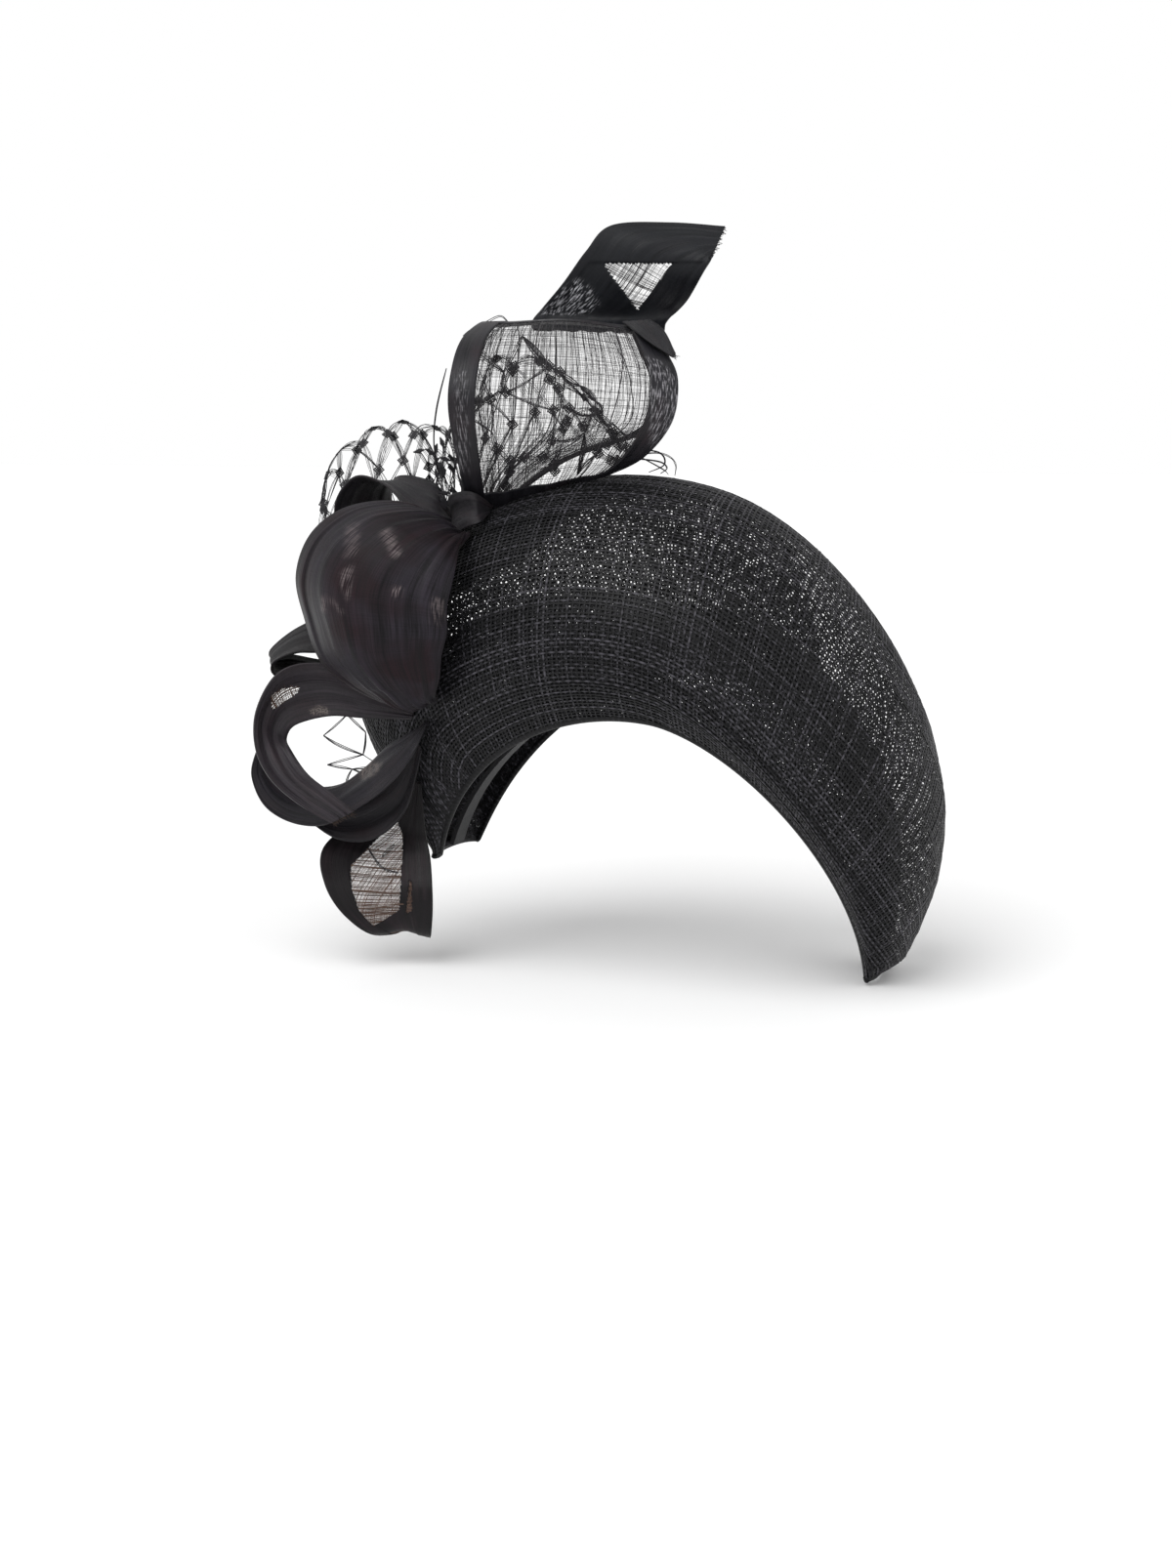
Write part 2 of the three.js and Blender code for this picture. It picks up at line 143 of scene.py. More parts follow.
# Many threads at once: a flat four-cornered tube along each row of paths, where keep says that the thread is
# there
def threadTubes(paths, normals, keep, width, thick):
    before = np.where(np.roll(keep, 1, 1)[..., None], np.roll(paths, 1, 1), paths)
    after = np.where(np.roll(keep, -1, 1)[..., None], np.roll(paths, -1, 1), paths)
    before[:, 0] = paths[:, 0]
    after[:, -1] = paths[:, -1]
    side = unit(np.cross(normals, after - before))
    width = np.broadcast_to(width, keep.shape)[..., None] / 2
    thick = np.broadcast_to(thick, keep.shape)[..., None] / 2
    signs = ((1, 1), (-1, 1), (-1, -1), (1, -1))
    corners = np.stack([paths + side * a * width + normals * b * thick for a, b in signs], 2)
    number = np.arange(keep.size * 4).reshape(keep.shape + (4,))
    both = keep[:, :-1] & keep[:, 1:]
    near, far = number[:, :-1][both], number[:, 1:][both]
    walls = [np.stack([near[:, k], far[:, k], far[:, m], near[:, m]], -1)
             for k, m in ((0, 1), (1, 2), (2, 3), (3, 0))]
    blank = np.zeros((len(keep), 1), bool)
    starts = keep & ~np.hstack([blank, keep[:, :-1]])
    ends = keep & ~np.hstack([keep[:, 1:], blank])
    quads = np.concatenate(walls + [number[starts], number[ends][:, ::-1]])
    used, flat = np.unique(quads, return_inverse=True)
    return corners.reshape(-1, 3)[used], flat.reshape(-1, 4), used


# Threads that are whole from end to end, all in one look
def wholeThreads(paths, normals, width, thick, material):
    points, quads, _ = threadTubes(paths, normals, np.ones(paths.shape[:2], bool), width, thick)
    return dict(points=points, quads=quads, uv=np.zeros((len(points), 2)), material=material)


# A phase for each of a number of waves, anywhere in about one turn
def phases(count):
    return rng.uniform(0, 6.3, (count, 1))


# Shader helpers: nodes are joined by name, numbers and colours are set on the node's own socket, and each
# helper gives the socket that carries on
def newMaterial(name):
    material = bpy.data.materials.new(name)
    material.use_nodes = True
    tree = material.node_tree
    return material, tree, tree.nodes["Principled BSDF"]


def setInputs(tree, made, inputs):
    for key, value in inputs.items():
        if isinstance(value, bpy.types.NodeSocket):
            tree.links.new(value, made.inputs[key])
        else:
            made.inputs[key].default_value = value


def addNode(tree, kind, inputs={}, **settings):
    made = tree.nodes.new(kind)
    for key, value in settings.items():
        setattr(made, key, value)
    setInputs(tree, made, inputs)
    return made


def combined(tree, operation, a, b=0.0, clamp=False):
    return addNode(tree, "ShaderNodeMath", {0: a, 1: b}, operation=operation, use_clamp=clamp).outputs[0]


def ramp(tree, value, stops):
    made = addNode(tree, "ShaderNodeValToRGB", {"Fac": value})
    while len(made.color_ramp.elements) < len(stops):
        made.color_ramp.elements.new(0.5)
    for element, (place, colour) in zip(made.color_ramp.elements, stops):
        element.position = place
        element.color = (*colour, 1)
    return made.outputs["Color"]


def stretchedNoise(tree, vector, scale, detail=2.0):
    moved = addNode(tree, "ShaderNodeMapping", {"Vector": vector, "Scale": scale}).outputs[0]
    noise = addNode(tree, "ShaderNodeTexNoise", {"Vector": moved, "Scale": 1.0, "Detail": detail})
    return noise.outputs["Fac"]


def ownUv(tree):
    return addNode(tree, "ShaderNodeUVMap", uv_map="UVMap").outputs[0]


# A value carried from the range start to end over to the range low to high
def carried(tree, value, low, high, start=0.0, end=1.0):
    ranges = {"From Min": start, "From Max": end, "To Min": low, "To Max": high}
    return addNode(tree, "ShaderNodeMapRange", {"Value": value} | ranges).outputs[0]


# Sum of values, each times its share
def weighed(tree, *terms):
    total, *others = [combined(tree, "MULTIPLY", value, share) for value, share in terms]
    for part in others:
        total = combined(tree, "ADD", total, part)
    return total


def mixed(tree, share, a, b):
    return addNode(tree, "ShaderNodeMix", {0: share, 6: a, 7: b}, data_type="RGBA").outputs[2]


# Halo band of woven straw
band = dict(tilt=11, powerRight=1.86, powerLeft=1.72, front=dict(halfWidth=80, top=83, topY=-50, endY=-2),
    rear=dict(halfWidth=78, top=89, topY=44, endY=24),
    rise=[(-84, 4), (-79, 15), (-72, 35.5), (-64, 60), (-54, 75), (-40, 79), (-20, 79), (0, 73), (20, 61),
    (40, 48.5), (54, 38.5), (66, 28), (76, 18.5), (82, 13), (86, 5)],
    profile=[(0, 0), (-0.12, 0.18), (-0.13, 0.4), (-0.05, 0.64), (0.12, 0.86), (0.34, 0.98), (0.56, 0.98),
    (0.78, 0.84), (0.94, 0.56), (1.02, 0.26), (1, 0)])


# A point of the band at an angle round its arch and a share of its section: the edge curve, a rounded diamond
# of the given power, plus the straw's rise times the section's height, all turned by the tilt
def bandPoint(angle, over):
    angle, over = np.broadcast_arrays(np.asarray(angle, float), np.asarray(over, float))
    along, lift = np.moveaxis(smoothRows(band["profile"], over), -1, 0)
    angles, rises = np.array(band["rise"], float).T
    rise = smoothRows(rises[:, None], np.interp(angle, angles, np.linspace(0, 1, len(angles))))[..., 0]
    mix = lambda name, share: band["front"][name] * (1 - share) + band["rear"][name] * share
    inside = np.clip(along, 0, 1)
    sine, cosine = np.sin(np.radians(angle)), np.cos(np.radians(angle))
    power = np.where(angle < 0, band["powerRight"], band["powerLeft"])
    reach = (np.abs(sine) / mix("halfWidth", inside)) ** power + (cosine / mix("top", inside)) ** power
    radius = reach ** (-1 / power) + rise * lift
    x, z = radius * sine, radius * cosine
    y = mix("endY", along) * (1 - cosine) + mix("topY", along) * cosine
    turn = math.radians(band["tilt"])
    return np.stack([x * math.cos(turn) + z * math.sin(turn), y, z * math.cos(turn) - x * math.sin(turn)], -1)


# Outward normal of the band, from small steps round the arch and over the section
def bandNormal(angle, over):
    turn, step = 0.4, 0.004
    aroundArch = bandPoint(angle + turn, over) - bandPoint(angle - turn, over)
    ahead, behind = np.clip(over + step, 0, 1), np.clip(over - step, 0, 1)
    return unit(np.cross(aroundArch, bandPoint(angle, ahead) - bandPoint(angle, behind)))


straw = dict(width=0.57, thick=0.22, step=6.0, ridge=0.47, midRadius=118, unrolled=0.5, uneven=0.07,
    gapSpread=0.07, bow=0.12, bowLength=23, widthSpread=0.13, widthLimits=(0.7, 1.4), angleRows=200,
    overSteps=160, ridgeSteps=400, toneCurve=1.6, edge=0.004, endGap=0.3)
firstAngle, lastAngle = band["rise"][0][0] + straw["endGap"], band["rise"][-1][0] - straw["endGap"]

# Section lengths: at each of a row of angles, the share of the section at each distance from the ridge
angleRows = np.linspace(firstAngle, lastAngle, straw["angleRows"])
overRow = np.linspace(0, 1, straw["overSteps"])
sections = bandPoint(angleRows[:, None], overRow[None])
steps = np.linalg.norm(np.diff(sections, axis=1), axis=2)
lengths = np.hstack([np.zeros((len(angleRows), 1)), np.cumsum(steps, 1)])
lengths -= np.array([np.interp(straw["ridge"], overRow, row) for row in lengths])[:, None]
offRidge = np.linspace(lengths.min(), lengths.max(), straw["ridgeSteps"])
overTable = np.array([np.interp(offRidge, row, overRow) for row in lengths])


# Share of the section at distance w from the ridge, read off the table between its four nearest entries
def overAt(angle, w):
    i = np.clip((angle - firstAngle) / (lastAngle - firstAngle), 0, 1) * (len(angleRows) - 1)
    j = np.clip((w - offRidge[0]) / (offRidge[-1] - offRidge[0]), 0, 1) * (len(offRidge) - 1)
    a, b = np.minimum(i.astype(int), len(angleRows) - 2), np.minimum(j.astype(int), len(offRidge) - 2)
    fa, fb = i - a, j - b
    low = overTable[a, b] * (1 - fb) + overTable[a, b + 1] * fb
    high = overTable[a + 1, b] * (1 - fb) + overTable[a + 1, b + 1] * fb
    return low * (1 - fa) + high * fa


# One set of parallel threads: straight lines at the grain angle on the cloth laid flat as a wide ring, which
# closes up to the arch by the unrolled share of its angle, each line cut off where it leaves the cloth
def strawThreads(name, ply, grain):
    turn = math.radians(grain)
    ringRadius = straw["midRadius"] / straw["unrolled"]
    halfArch = math.radians(lastAngle - firstAngle) / 2 * straw["midRadius"]
    reach = math.hypot(halfArch, max(-offRidge[0], offRidge[-1])) + 5
    count = int(reach * 2 / ply["pitch"])
    stray = rng.normal(0, straw["gapSpread"] * ply["pitch"], count)
    offset = (np.arange(count) - count / 2) * ply["pitch"] + stray
    t = np.arange(-reach, reach, straw["step"])
    bow = rng.normal(0, straw["bow"], (count, 1)) * np.sin(t[None] / straw["bowLength"] + phases(count))
    side = offset[:, None] + bow
    x = t[None] * math.cos(turn) - side * math.sin(turn)
    y = t[None] * math.sin(turn) + side * math.cos(turn) + ringRadius
    angle = (firstAngle + lastAngle) / 2 + np.degrees(np.arctan2(x, y)) / straw["unrolled"]
    w = np.hypot(x, y) - ringRadius
    low = np.interp(angle, angleRows, lengths[:, 0])
    high = np.interp(angle, angleRows, lengths[:, -1])
    spare = np.minimum.reduce([w - low, high - w, 2 * (lastAngle - angle), 2 * (angle - firstAngle)])
    if "lap" in ply:
        spare = np.minimum(spare, turnedRoom(ply, angle, w, low, high))
    keep = spare > 0
    for ahead in (1, -1):  # the last point of each thread slides along it to the cloth's edge
        edge = ~keep & np.roll(keep, ahead, 1)
        near = np.roll(spare, ahead, 1)
        share = np.clip(near / np.maximum(near - spare, 1e-9), 0.02, 1)
        angle = np.where(edge, np.roll(angle, ahead, 1) * (1 - share) + angle * share, angle)
        w = np.where(edge, np.roll(w, ahead, 1) * (1 - share) + w * share, w)
        keep = keep | edge
    keep[:, 0] = keep[:, -1] = False
    angle = np.clip(angle, firstAngle, lastAngle)
    over = np.clip(overAt(angle, w), straw["edge"], 1 - straw["edge"])
    normals = bandNormal(angle, over)
    paths = bandPoint(angle, over) - normals * (ply["inside"] + rng.normal(0, straw["uneven"], (count, 1, 1)))
    width = straw["width"] * np.clip(rng.normal(1, straw["widthSpread"], (count, 1)), *straw["widthLimits"])
    points, quads, used = threadTubes(paths, normals, keep, width, straw["thick"])
    # lengthwise turns once per under and over along each thread, every other thread half a turn on: it sets
    # the painted shade and highlight of the weave
    lengthwise = t[None] / (2 * ply["pitch"]) + (np.arange(count) % 2)[:, None] / 2
    tone = np.broadcast_to(rng.uniform(0, 1, (count, 1)) ** straw["toneCurve"], keep.shape)
    uv = np.stack([tone, lengthwise], -1).repeat(4, 1).reshape(-1, 2)[used]
    threads = dict(points=points, quads=quads, uv=uv, material=strawLook)
    piece = makePiece(name, "straw", threads, smooth=False)
    print(name, "threads", int(keep.any(1).sum()), "quads", len(quads))
    return piece


# Dyed straw: each thread has a tone of its own, with slubs along it, painted shade where it dips under a
# crossing thread and a painted highlight where it rides over
def strawMaterial():
    material, tree, shader = newMaterial("sinamayStraw")
    uv = ownUv(tree)
    tone, lengthwise = addNode(tree, "ShaderNodeSeparateXYZ", {0: uv}).outputs[:2]
    # Painted shade and highlight of the weave: darker where a thread goes under, lighter where it goes over
    paintedWeaveShading = combined(tree, "SINE", combined(tree, "MULTIPLY", lengthwise, 2 * math.pi))
    slub = stretchedNoise(tree, uv, (40, 0.35, 1))
    shade = weighed(tree, (tone, 0.36), (slub, 0.5), (paintedWeaveShading, 0.16))
    colour = ramp(tree, shade, [(0.2, (0.001, 0.001, 0.0015)), (0.42, (0.005, 0.005, 0.0062)),
                                (0.8, (0.066, 0.063, 0.074))])
    setInputs(tree, shader, {"Base Color": colour, "Roughness": carried(tree, slub, 0.36, 0.6),
                             "Specular IOR Level": 0.2, "Sheen Weight": 0.04})
    return material


strawLook = strawMaterial()

# The plies: the outer one all over, the one turned under from each edge for a share of the way from the
# ridge, a third one along the front edge, both with the lapped join beside the trim, and an open lining at
# the back of that join
plies = dict(
    straw=dict(grain=5, pitch=1.42, inside=0.4),
    strawTurned=dict(grain=38, pitch=1.22, inside=0.9, front=0.48, rear=0.8, lap=(-12, 0.37, -32, 47)),
    strawRim=dict(grain=-24, pitch=0.88, inside=1.3, front=0.5, lap=(-12, 0.37, -32, 25)),
    strawLining=dict(grain=20, pitch=1.75, inside=0.9, lap=(-13.4, 0.37, 47, 200)))


# How far a point lies inside a ply: before its share of the front, past its share of the rear, or in the lap,
# which ends at a leaning line and at two distances from the ridge
def turnedRoom(ply, angle, w, low, high):
    start, lean, lowest, highest = ply["lap"]
    rooms = [np.minimum.reduce([2 * (start + lean * w - angle), w - lowest, highest - w])]
    if "front" in ply:
        rooms.append(ply["front"] * low - w)
    if "rear" in ply:
        rooms.append(w - ply["rear"] * high)
    return np.maximum.reduce(rooms)


for plyName, ply in plies.items():
    for family, turnBy in (("Warp", 0), ("Weft", 90)):
        strawThreads(plyName + family, ply, ply["grain"] + turnBy)
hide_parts("halo_band")

# Edge roll: the doubled rim that runs round both edges and both ends, an oval carried along the edge line
edgeRoll = dict(across=2.6, thick=1.5, steps=620, round=10, inset=0.006, sunk=0.6, tone=0.2, turns=300)


def makeEdgeRoll():
    t = np.arange(edgeRoll["steps"]) / edgeRoll["steps"]
    inset, corner = edgeRoll["inset"], [0, 0.42, 0.5, 0.92, 1.0]
    angle = np.interp(t, corner, [firstAngle, lastAngle, lastAngle, firstAngle, firstAngle])
    over = np.interp(t, corner, [inset, inset, 1 - inset, 1 - inset, inset])
    normal = bandNormal(angle, over)
    path = bandPoint(angle, over) - normal * edgeRoll["sunk"]
    ahead = np.roll(path, -1, 0) - np.roll(path, 1, 0)
    side = unit(np.cross(normal, ahead))
    normal = unit(np.cross(ahead, side))
    turn = np.linspace(0, 2 * math.pi, edgeRoll["round"], endpoint=False)
    ring = (path[:, None] + side[:, None] * np.cos(turn)[None, :, None] * edgeRoll["across"] / 2
            + normal[:, None] * np.sin(turn)[None, :, None] * edgeRoll["thick"] / 2)
    n = np.arange(ring.shape[0] * ring.shape[1]).reshape(ring.shape[:2])
    n = np.pad(n, ((0, 1), (0, 1)), mode="wrap")
    # Its uv gives the straw's tone round the oval and, along it, the turns of the straw's painted crossing
    # shade
    tone = np.linspace(0, edgeRoll["tone"], edgeRoll["round"])
    uv = np.stack(np.meshgrid(t * edgeRoll["turns"], tone, indexing="ij")[::-1], -1)
    makePiece("edgeRoll", "straw", dict(points=ring, quads=gridQuads(n), uv=uv, material=strawLook))


makeEdgeRoll()
print("halo band done")

# Camera at the photograph's angle
view = dict(turn=18, lean=10, distance=760, centre=(-24, 1.7, 51.4), lens=48.67)
turn, lean = math.radians(view["turn"]), math.radians(view["lean"])
toward = np.array([math.sin(turn) * math.cos(lean), -math.cos(turn) * math.cos(lean), math.sin(lean)])
across = np.array([math.cos(turn), math.sin(turn), 0])
upward = np.cross(toward, across)
trimPlace = np.array(view["centre"])

cameraData = bpy.data.cameras.new("camera")
cameraData.lens = view["lens"]
camera = addObject("camera", cameraData)
camera.location = (trimPlace + toward * view["distance"]) * mm
camera.rotation_euler = (math.radians(90 - view["lean"]), 0, turn)
bpy.context.scene.camera = camera

# Ribbons: rows of (left hem, right hem, cup), where three numbers are across, up and toward the viewer, and
# two are a seat on the halo band (angle, share of its section)
seatGap = 0.95


# A place by the trim, from millimetres across, up and toward the viewer
def atTrim(side, high, near):
    side, high, near = (np.asarray(value, float)[..., None] for value in (side, high, near))
    return trimPlace + side * across + high * upward + near * toward


# The point that a row's place names, by the trim or off the band's own surface by the seat's gap
def spotOf(place):
    if len(place) == 3:
        return atTrim(*place)
    angle, over = np.array(place, float)
    return bandPoint(angle, over) + bandNormal(angle, over) * seatGap


# Ribbon surface: a straight line between two smooth hems, bowed by the cup times a half sine across, with
# pleats that die away from each sewn end and slow ripples along the middle
def ribbonGrid(made, steps, lanes):
    rows, t, u = made["rows"], np.linspace(0, 1, steps + 1), np.linspace(0, 1, lanes + 1)
    left = smoothRows([spotOf(row[0]) for row in rows], t)
    right = smoothRows([spotOf(row[1]) for row in rows], t)
    cup = smoothRows([[row[2]] for row in rows], t)
    grid = left[:, None] * (1 - u[None, :, None]) + right[:, None] * u[None, :, None]
    normals = gridNormals(grid)
    bow = cup * np.sin(math.pi * u)[None]
    fade = np.exp(-t / made["pleatReach"]) + np.exp(-(1 - t) / made["pleatReach"])
    fold = 2 * math.pi * made["pleats"] * (u[None] + 0.03 * np.sin(9 * t[:, None] + 5 * u[None]))
    pleat = made["pleatDepth"] * fade[:, None] * (np.sin(fold + 0.6) + 0.5 * np.sin(1.9 * fold + 2))
    slow = np.sin(2 * math.pi * (made["ripples"] * u[None] + 0.8 * t[:, None])) * np.sin(math.pi * t)[:, None]
    wave = made["ripple"] * slow
    return grid + normals * (bow + pleat + wave)[..., None]


# Which points of a plane lie inside a closed outline: an odd number of its sides is crossed on the way out
def insideOutline(outline, x, y):
    x0, y0 = np.array(outline, float).T[:, :, None, None]
    x1, y1 = np.roll(x0, -1, 0), np.roll(y0, -1, 0)
    crossed = ((y0 > y) != (y1 > y)) & (x < x0 + (x1 - x0) * (y - y0) / np.where(y1 == y0, 1e-9, y1 - y0))
    return crossed.sum(0) % 2 == 1


# Where points are as the viewer sees them, across and up in mm at the trim's place
def asSeen(points):
    local = points - trimPlace
    nearer = 1 - local @ toward / view["distance"]
    return local @ across / nearer, local @ upward / nearer


# Sheer windows of a ribbon, by shares along and across it, or by an outline as the viewer sees it
def windowCells(made, grid):
    steps, lanes = grid.shape[0] - 1, grid.shape[1] - 1
    x, y = asSeen((grid[:-1, :-1] + grid[1:, :-1] + grid[:-1, 1:] + grid[1:, 1:]) / 4)
    t, u = np.meshgrid((np.arange(steps) + 0.5) / steps, (np.arange(lanes) + 0.5) / lanes, indexing="ij")
    masks = np.zeros((len(made["windows"]), steps, lanes), bool)
    for mask, window in zip(masks, made["windows"]):
        (t0, t1), (u0, u1) = window.get("along", (0, 1)), window.get("over", (0, 1))
        mask[:] = (t > t0) & (t < t1) & (u > u0) & (u < u1)
        if "outline" in window:
            mask &= insideOutline(window["outline"], x, y)
    return masks


# Share of painted light at each point: the thinner cloth of the patches, painted pale for the light that
# shows through it, and on the front puff also painted highlights; the patches' outlines are softened by
# averaging each point with its neighbours
def paintedLightShare(patches, grid):
    x, y = asSeen(grid)
    share = np.zeros(grid.shape[:2])
    for strength, outline in patches:
        share = np.maximum(share, strength * insideOutline(outline, x, y))
    for _ in range(2):
        wide = np.pad(share, 1, mode="edge")
        share = (wide[:-2, 1:-1] + wide[2:, 1:-1] + wide[1:-1, :-2] + wide[1:-1, 2:] + share) / 5
    return share


# Sheer cloth in a window: threads along (0) and across (1) the ribbon at uneven gaps, laid on its surface and
# let into the solid cloth, the lengthwise ones drifting sideways by the slant
sheer = dict(spare=1.4, gapShape=0.9, gapScale=1.11, drift=0.5, waves=9, stride=4, margin=0.002, lean=0.3,
    spread=0.45, thinnest=0.45, thickest=2.6, lift=0.05, flattest=0.15)


def clothThreads(made, grid, normals, isOpen, length, width):
    steps, lanes = isOpen.shape
    reach = np.array([length, width])
    even, margin = made["even"], sheer["margin"]
    parts = []
    for way, gap, size in made["weave"]:
        other = 1 - way
        runs, sides = (steps, lanes) if way == 0 else (lanes, steps)
        slant = made["slant"] if way == 0 else 0
        count = int(reach[other] * (1 + 2 * abs(slant)) / gap * sheer["spare"])
        gaps = even * gap + rng.gamma(sheer["gapShape"], (1 - even) * sheer["gapScale"] * gap, count)
        place = np.cumsum(gaps) / reach[other] - abs(slant)
        place = place[place < 1 - margin + abs(slant)]
        count = len(place)
        run = np.arange(0, runs + 1, sheer["stride"])
        wave = run[None] / run[-1] * sheer["waves"]
        drift = rng.normal(0, sheer["drift"] * gap, (count, 1)) * np.sin(wave + phases(count))
        share = place[:, None] + drift / reach[other] + slant * (run[None] / runs - sheer["lean"])
        side = np.clip(share, margin, 1 - margin) * sides
        low = np.minimum(side.astype(int), sides - 1)
        f = (side - low)[..., None]
        run = np.broadcast_to(run[None], low.shape)
        pick = (lambda a, i, j: a[j, i]) if way == 0 else (lambda a, i, j: a[i, j])
        paths = pick(grid, low, run) * (1 - f) + pick(grid, low + 1, run) * f
        facing = unit(pick(normals, low, run) * (1 - f) + pick(normals, low + 1, run) * f)
        here = pick(isOpen, low, np.minimum(run, runs - 1)) & (np.abs(share - 0.5) < 0.5 - margin)
        keep = here.copy()
        keep[:, :-1] |= here[:, 1:]
        keep[:, 1:] |= here[:, :-1]
        keep &= keep.sum(1, keepdims=True) > 1
        thick = rng.lognormal(0, sheer["spread"], (count, 1))
        thick = size * np.clip(thick, sheer["thinnest"], sheer["thickest"])
        paths = paths + facing * rng.normal(0, sheer["lift"], (count, 1, 1))
        flat = min(size, sheer["flattest"]) * made["flatness"]
        points, quads, used = threadTubes(paths, facing, keep, thick, flat)
        tone = np.broadcast_to(rng.uniform(0, 1, (count, 1)), keep.shape)
        uv = np.stack([tone, run / run.max() * reach[way]], -1).repeat(4, 1).reshape(-1, 2)[used]
        parts.append(dict(points=points, quads=quads, uv=uv, material=fibreLooks[made["fibre"]]))
    return parts


# Frayed end: short threads that carry on past the last row of a ribbon and stray as the square of their share
frayed = dict(rowsBack=6, tuckedIn=0.3, points=5, bend=0.35)


def frayedEnd(grid, normals, fray):
    count = fray["count"]
    place = rng.integers(1, grid.shape[1] - 1, count)
    start, back = grid[-1, place], grid[-frayed["rowsBack"], place]
    t = np.linspace(-frayed["tuckedIn"], 1, frayed["points"])[None, :, None]
    reach = rng.uniform(*fray["reach"], (count, 1, 1))
    ahead = unit(start - back)[:, None] * t * reach
    astray = rng.normal(0, frayed["bend"], (count, 1, 3)) * np.clip(t, 0, 1) ** 2 * reach
    paths = start[:, None] + (ahead + astray)
    facing = normals[-1, place][:, None].repeat(paths.shape[1], 1)
    return wholeThreads(paths, facing, fray["thread"], fray["thread"], fibreLooks[fray.get("fibre", "plain")])


# Solid silk straw cloth: fine streaks along the ribbon in colour, gloss and relief, over slow clouds of a
# warmer tint
def ribbonMaterial(name, made):
    dark, warmShare = made["dark"], made["warmShare"]
    material, tree, shader = newMaterial(name)
    uv = ownUv(tree)
    fine = stretchedNoise(tree, uv, (150, 0.05, 1), 3)
    broad = stretchedNoise(tree, uv, (22, 0.025, 1), 2)
    cross = stretchedNoise(tree, uv, (5, 1.6, 1), 1)
    cloud = stretchedNoise(tree, uv, (2.6, 0.045, 1), 2)
    streak = weighed(tree, (fine, 0.42), (broad, 0.48), (cross, 0.1))
    plain = ramp(tree, streak, [(0.38, dark), (0.62, made["light"])])
    tinted = ramp(tree, streak, [(0.38, dark), (0.62, made["warm"])])
    share = carried(tree, cloud, 0, 1, 0.62 - warmShare * 0.3, 0.75 - warmShare * 0.2)
    colour = mixed(tree, share, plain, tinted)
    # Painted light: the patches' share, broken by streaks, mixes in a pale colour for the light that shows
    # through thinner cloth and for painted highlights
    if made["patches"]:
        paintedLight = addNode(tree, "ShaderNodeAttribute", attribute_name="paintedLight").outputs["Fac"]
        along = carried(tree, stretchedNoise(tree, uv, made["paintedLightGrain"], 2), 0, 1, *made["paintedLightCut"])
        over = carried(tree, cross, 0.5, 1, 0.3, 0.6)
        paintedLight = combined(tree, "MULTIPLY", paintedLight, combined(tree, "MULTIPLY", along, over), clamp=True)
        colour = mixed(tree, paintedLight, colour, (*made["paintedLight"], 1))
    bump = addNode(tree, "ShaderNodeBump", {"Height": streak, "Strength": 0.6, "Distance": 0.0005})
    rough = carried(tree, broad, made["rough"] - 0.1, made["rough"] + 0.12, 0.3, 0.7)
    setInputs(tree, shader, {"Base Color": colour, "Normal": bump.outputs[0], "Roughness": rough,
                             "Specular IOR Level": made["gloss"], "Sheen Weight": 0.03})
    return material


# Single fibres of the sheer cloth, each with a tone of its own
def fibreMaterial(name, dark, light):
    material, tree, shader = newMaterial(name)
    uv = ownUv(tree)
    slub = stretchedNoise(tree, uv, (31, 0.2, 1))
    tone = addNode(tree, "ShaderNodeSeparateXYZ", {0: uv}).outputs[0]
    shade = weighed(tree, (tone, 0.6), (slub, 0.4))
    colour = ramp(tree, shade, [(0.2, dark), (0.8, light)])
    setInputs(tree, shader, {"Base Color": colour, "Roughness": carried(tree, slub, 0.35, 0.65),
                             "Specular IOR Level": 0.25})
    return material


# The warm fibres' pale taupe is partly their own tint and partly painted light, for the light that shows
# through the sheer windows
fibreLooks = dict(plain=fibreMaterial("sheerFibre", (0.006, 0.006, 0.007), (0.05, 0.046, 0.05)),
                  warm=fibreMaterial("backlitWarmFibre", (0.028, 0.0165, 0.0122), (0.132, 0.083, 0.064)))
# Defaults of each ribbon; the pale colour of the patches is painted light, for light shown through thinner
# cloth
ribbon = dict(thick=0.3, hemThick=0.75, cutWidth=10.5, cell=0.75, weave=[(0, 0.55, 0.17), (1, 1.15, 0.11)],
    slant=0, even=0.3, flatness=0.8, fibre="plain", pleats=4, pleatDepth=0.4, pleatReach=0.09, ripple=0.25,
    ripples=1.7, hem=0.14, hemFade=0.02, hemAbove=None, hemAboveFade=0.5, draft=(60, 20), windows=[],
    patches=[], dark=(0.003, 0.003, 0.004), light=(0.013, 0.0105, 0.0145), warm=(0.018, 0.011, 0.014),
    warmShare=0.5, gloss=0.25, rough=0.44, paintedLight=(0.07, 0.058, 0.062), paintedLightGrain=(110, 0.06, 1),
    paintedLightCut=(0.38, 0.56), rests="halo_band")
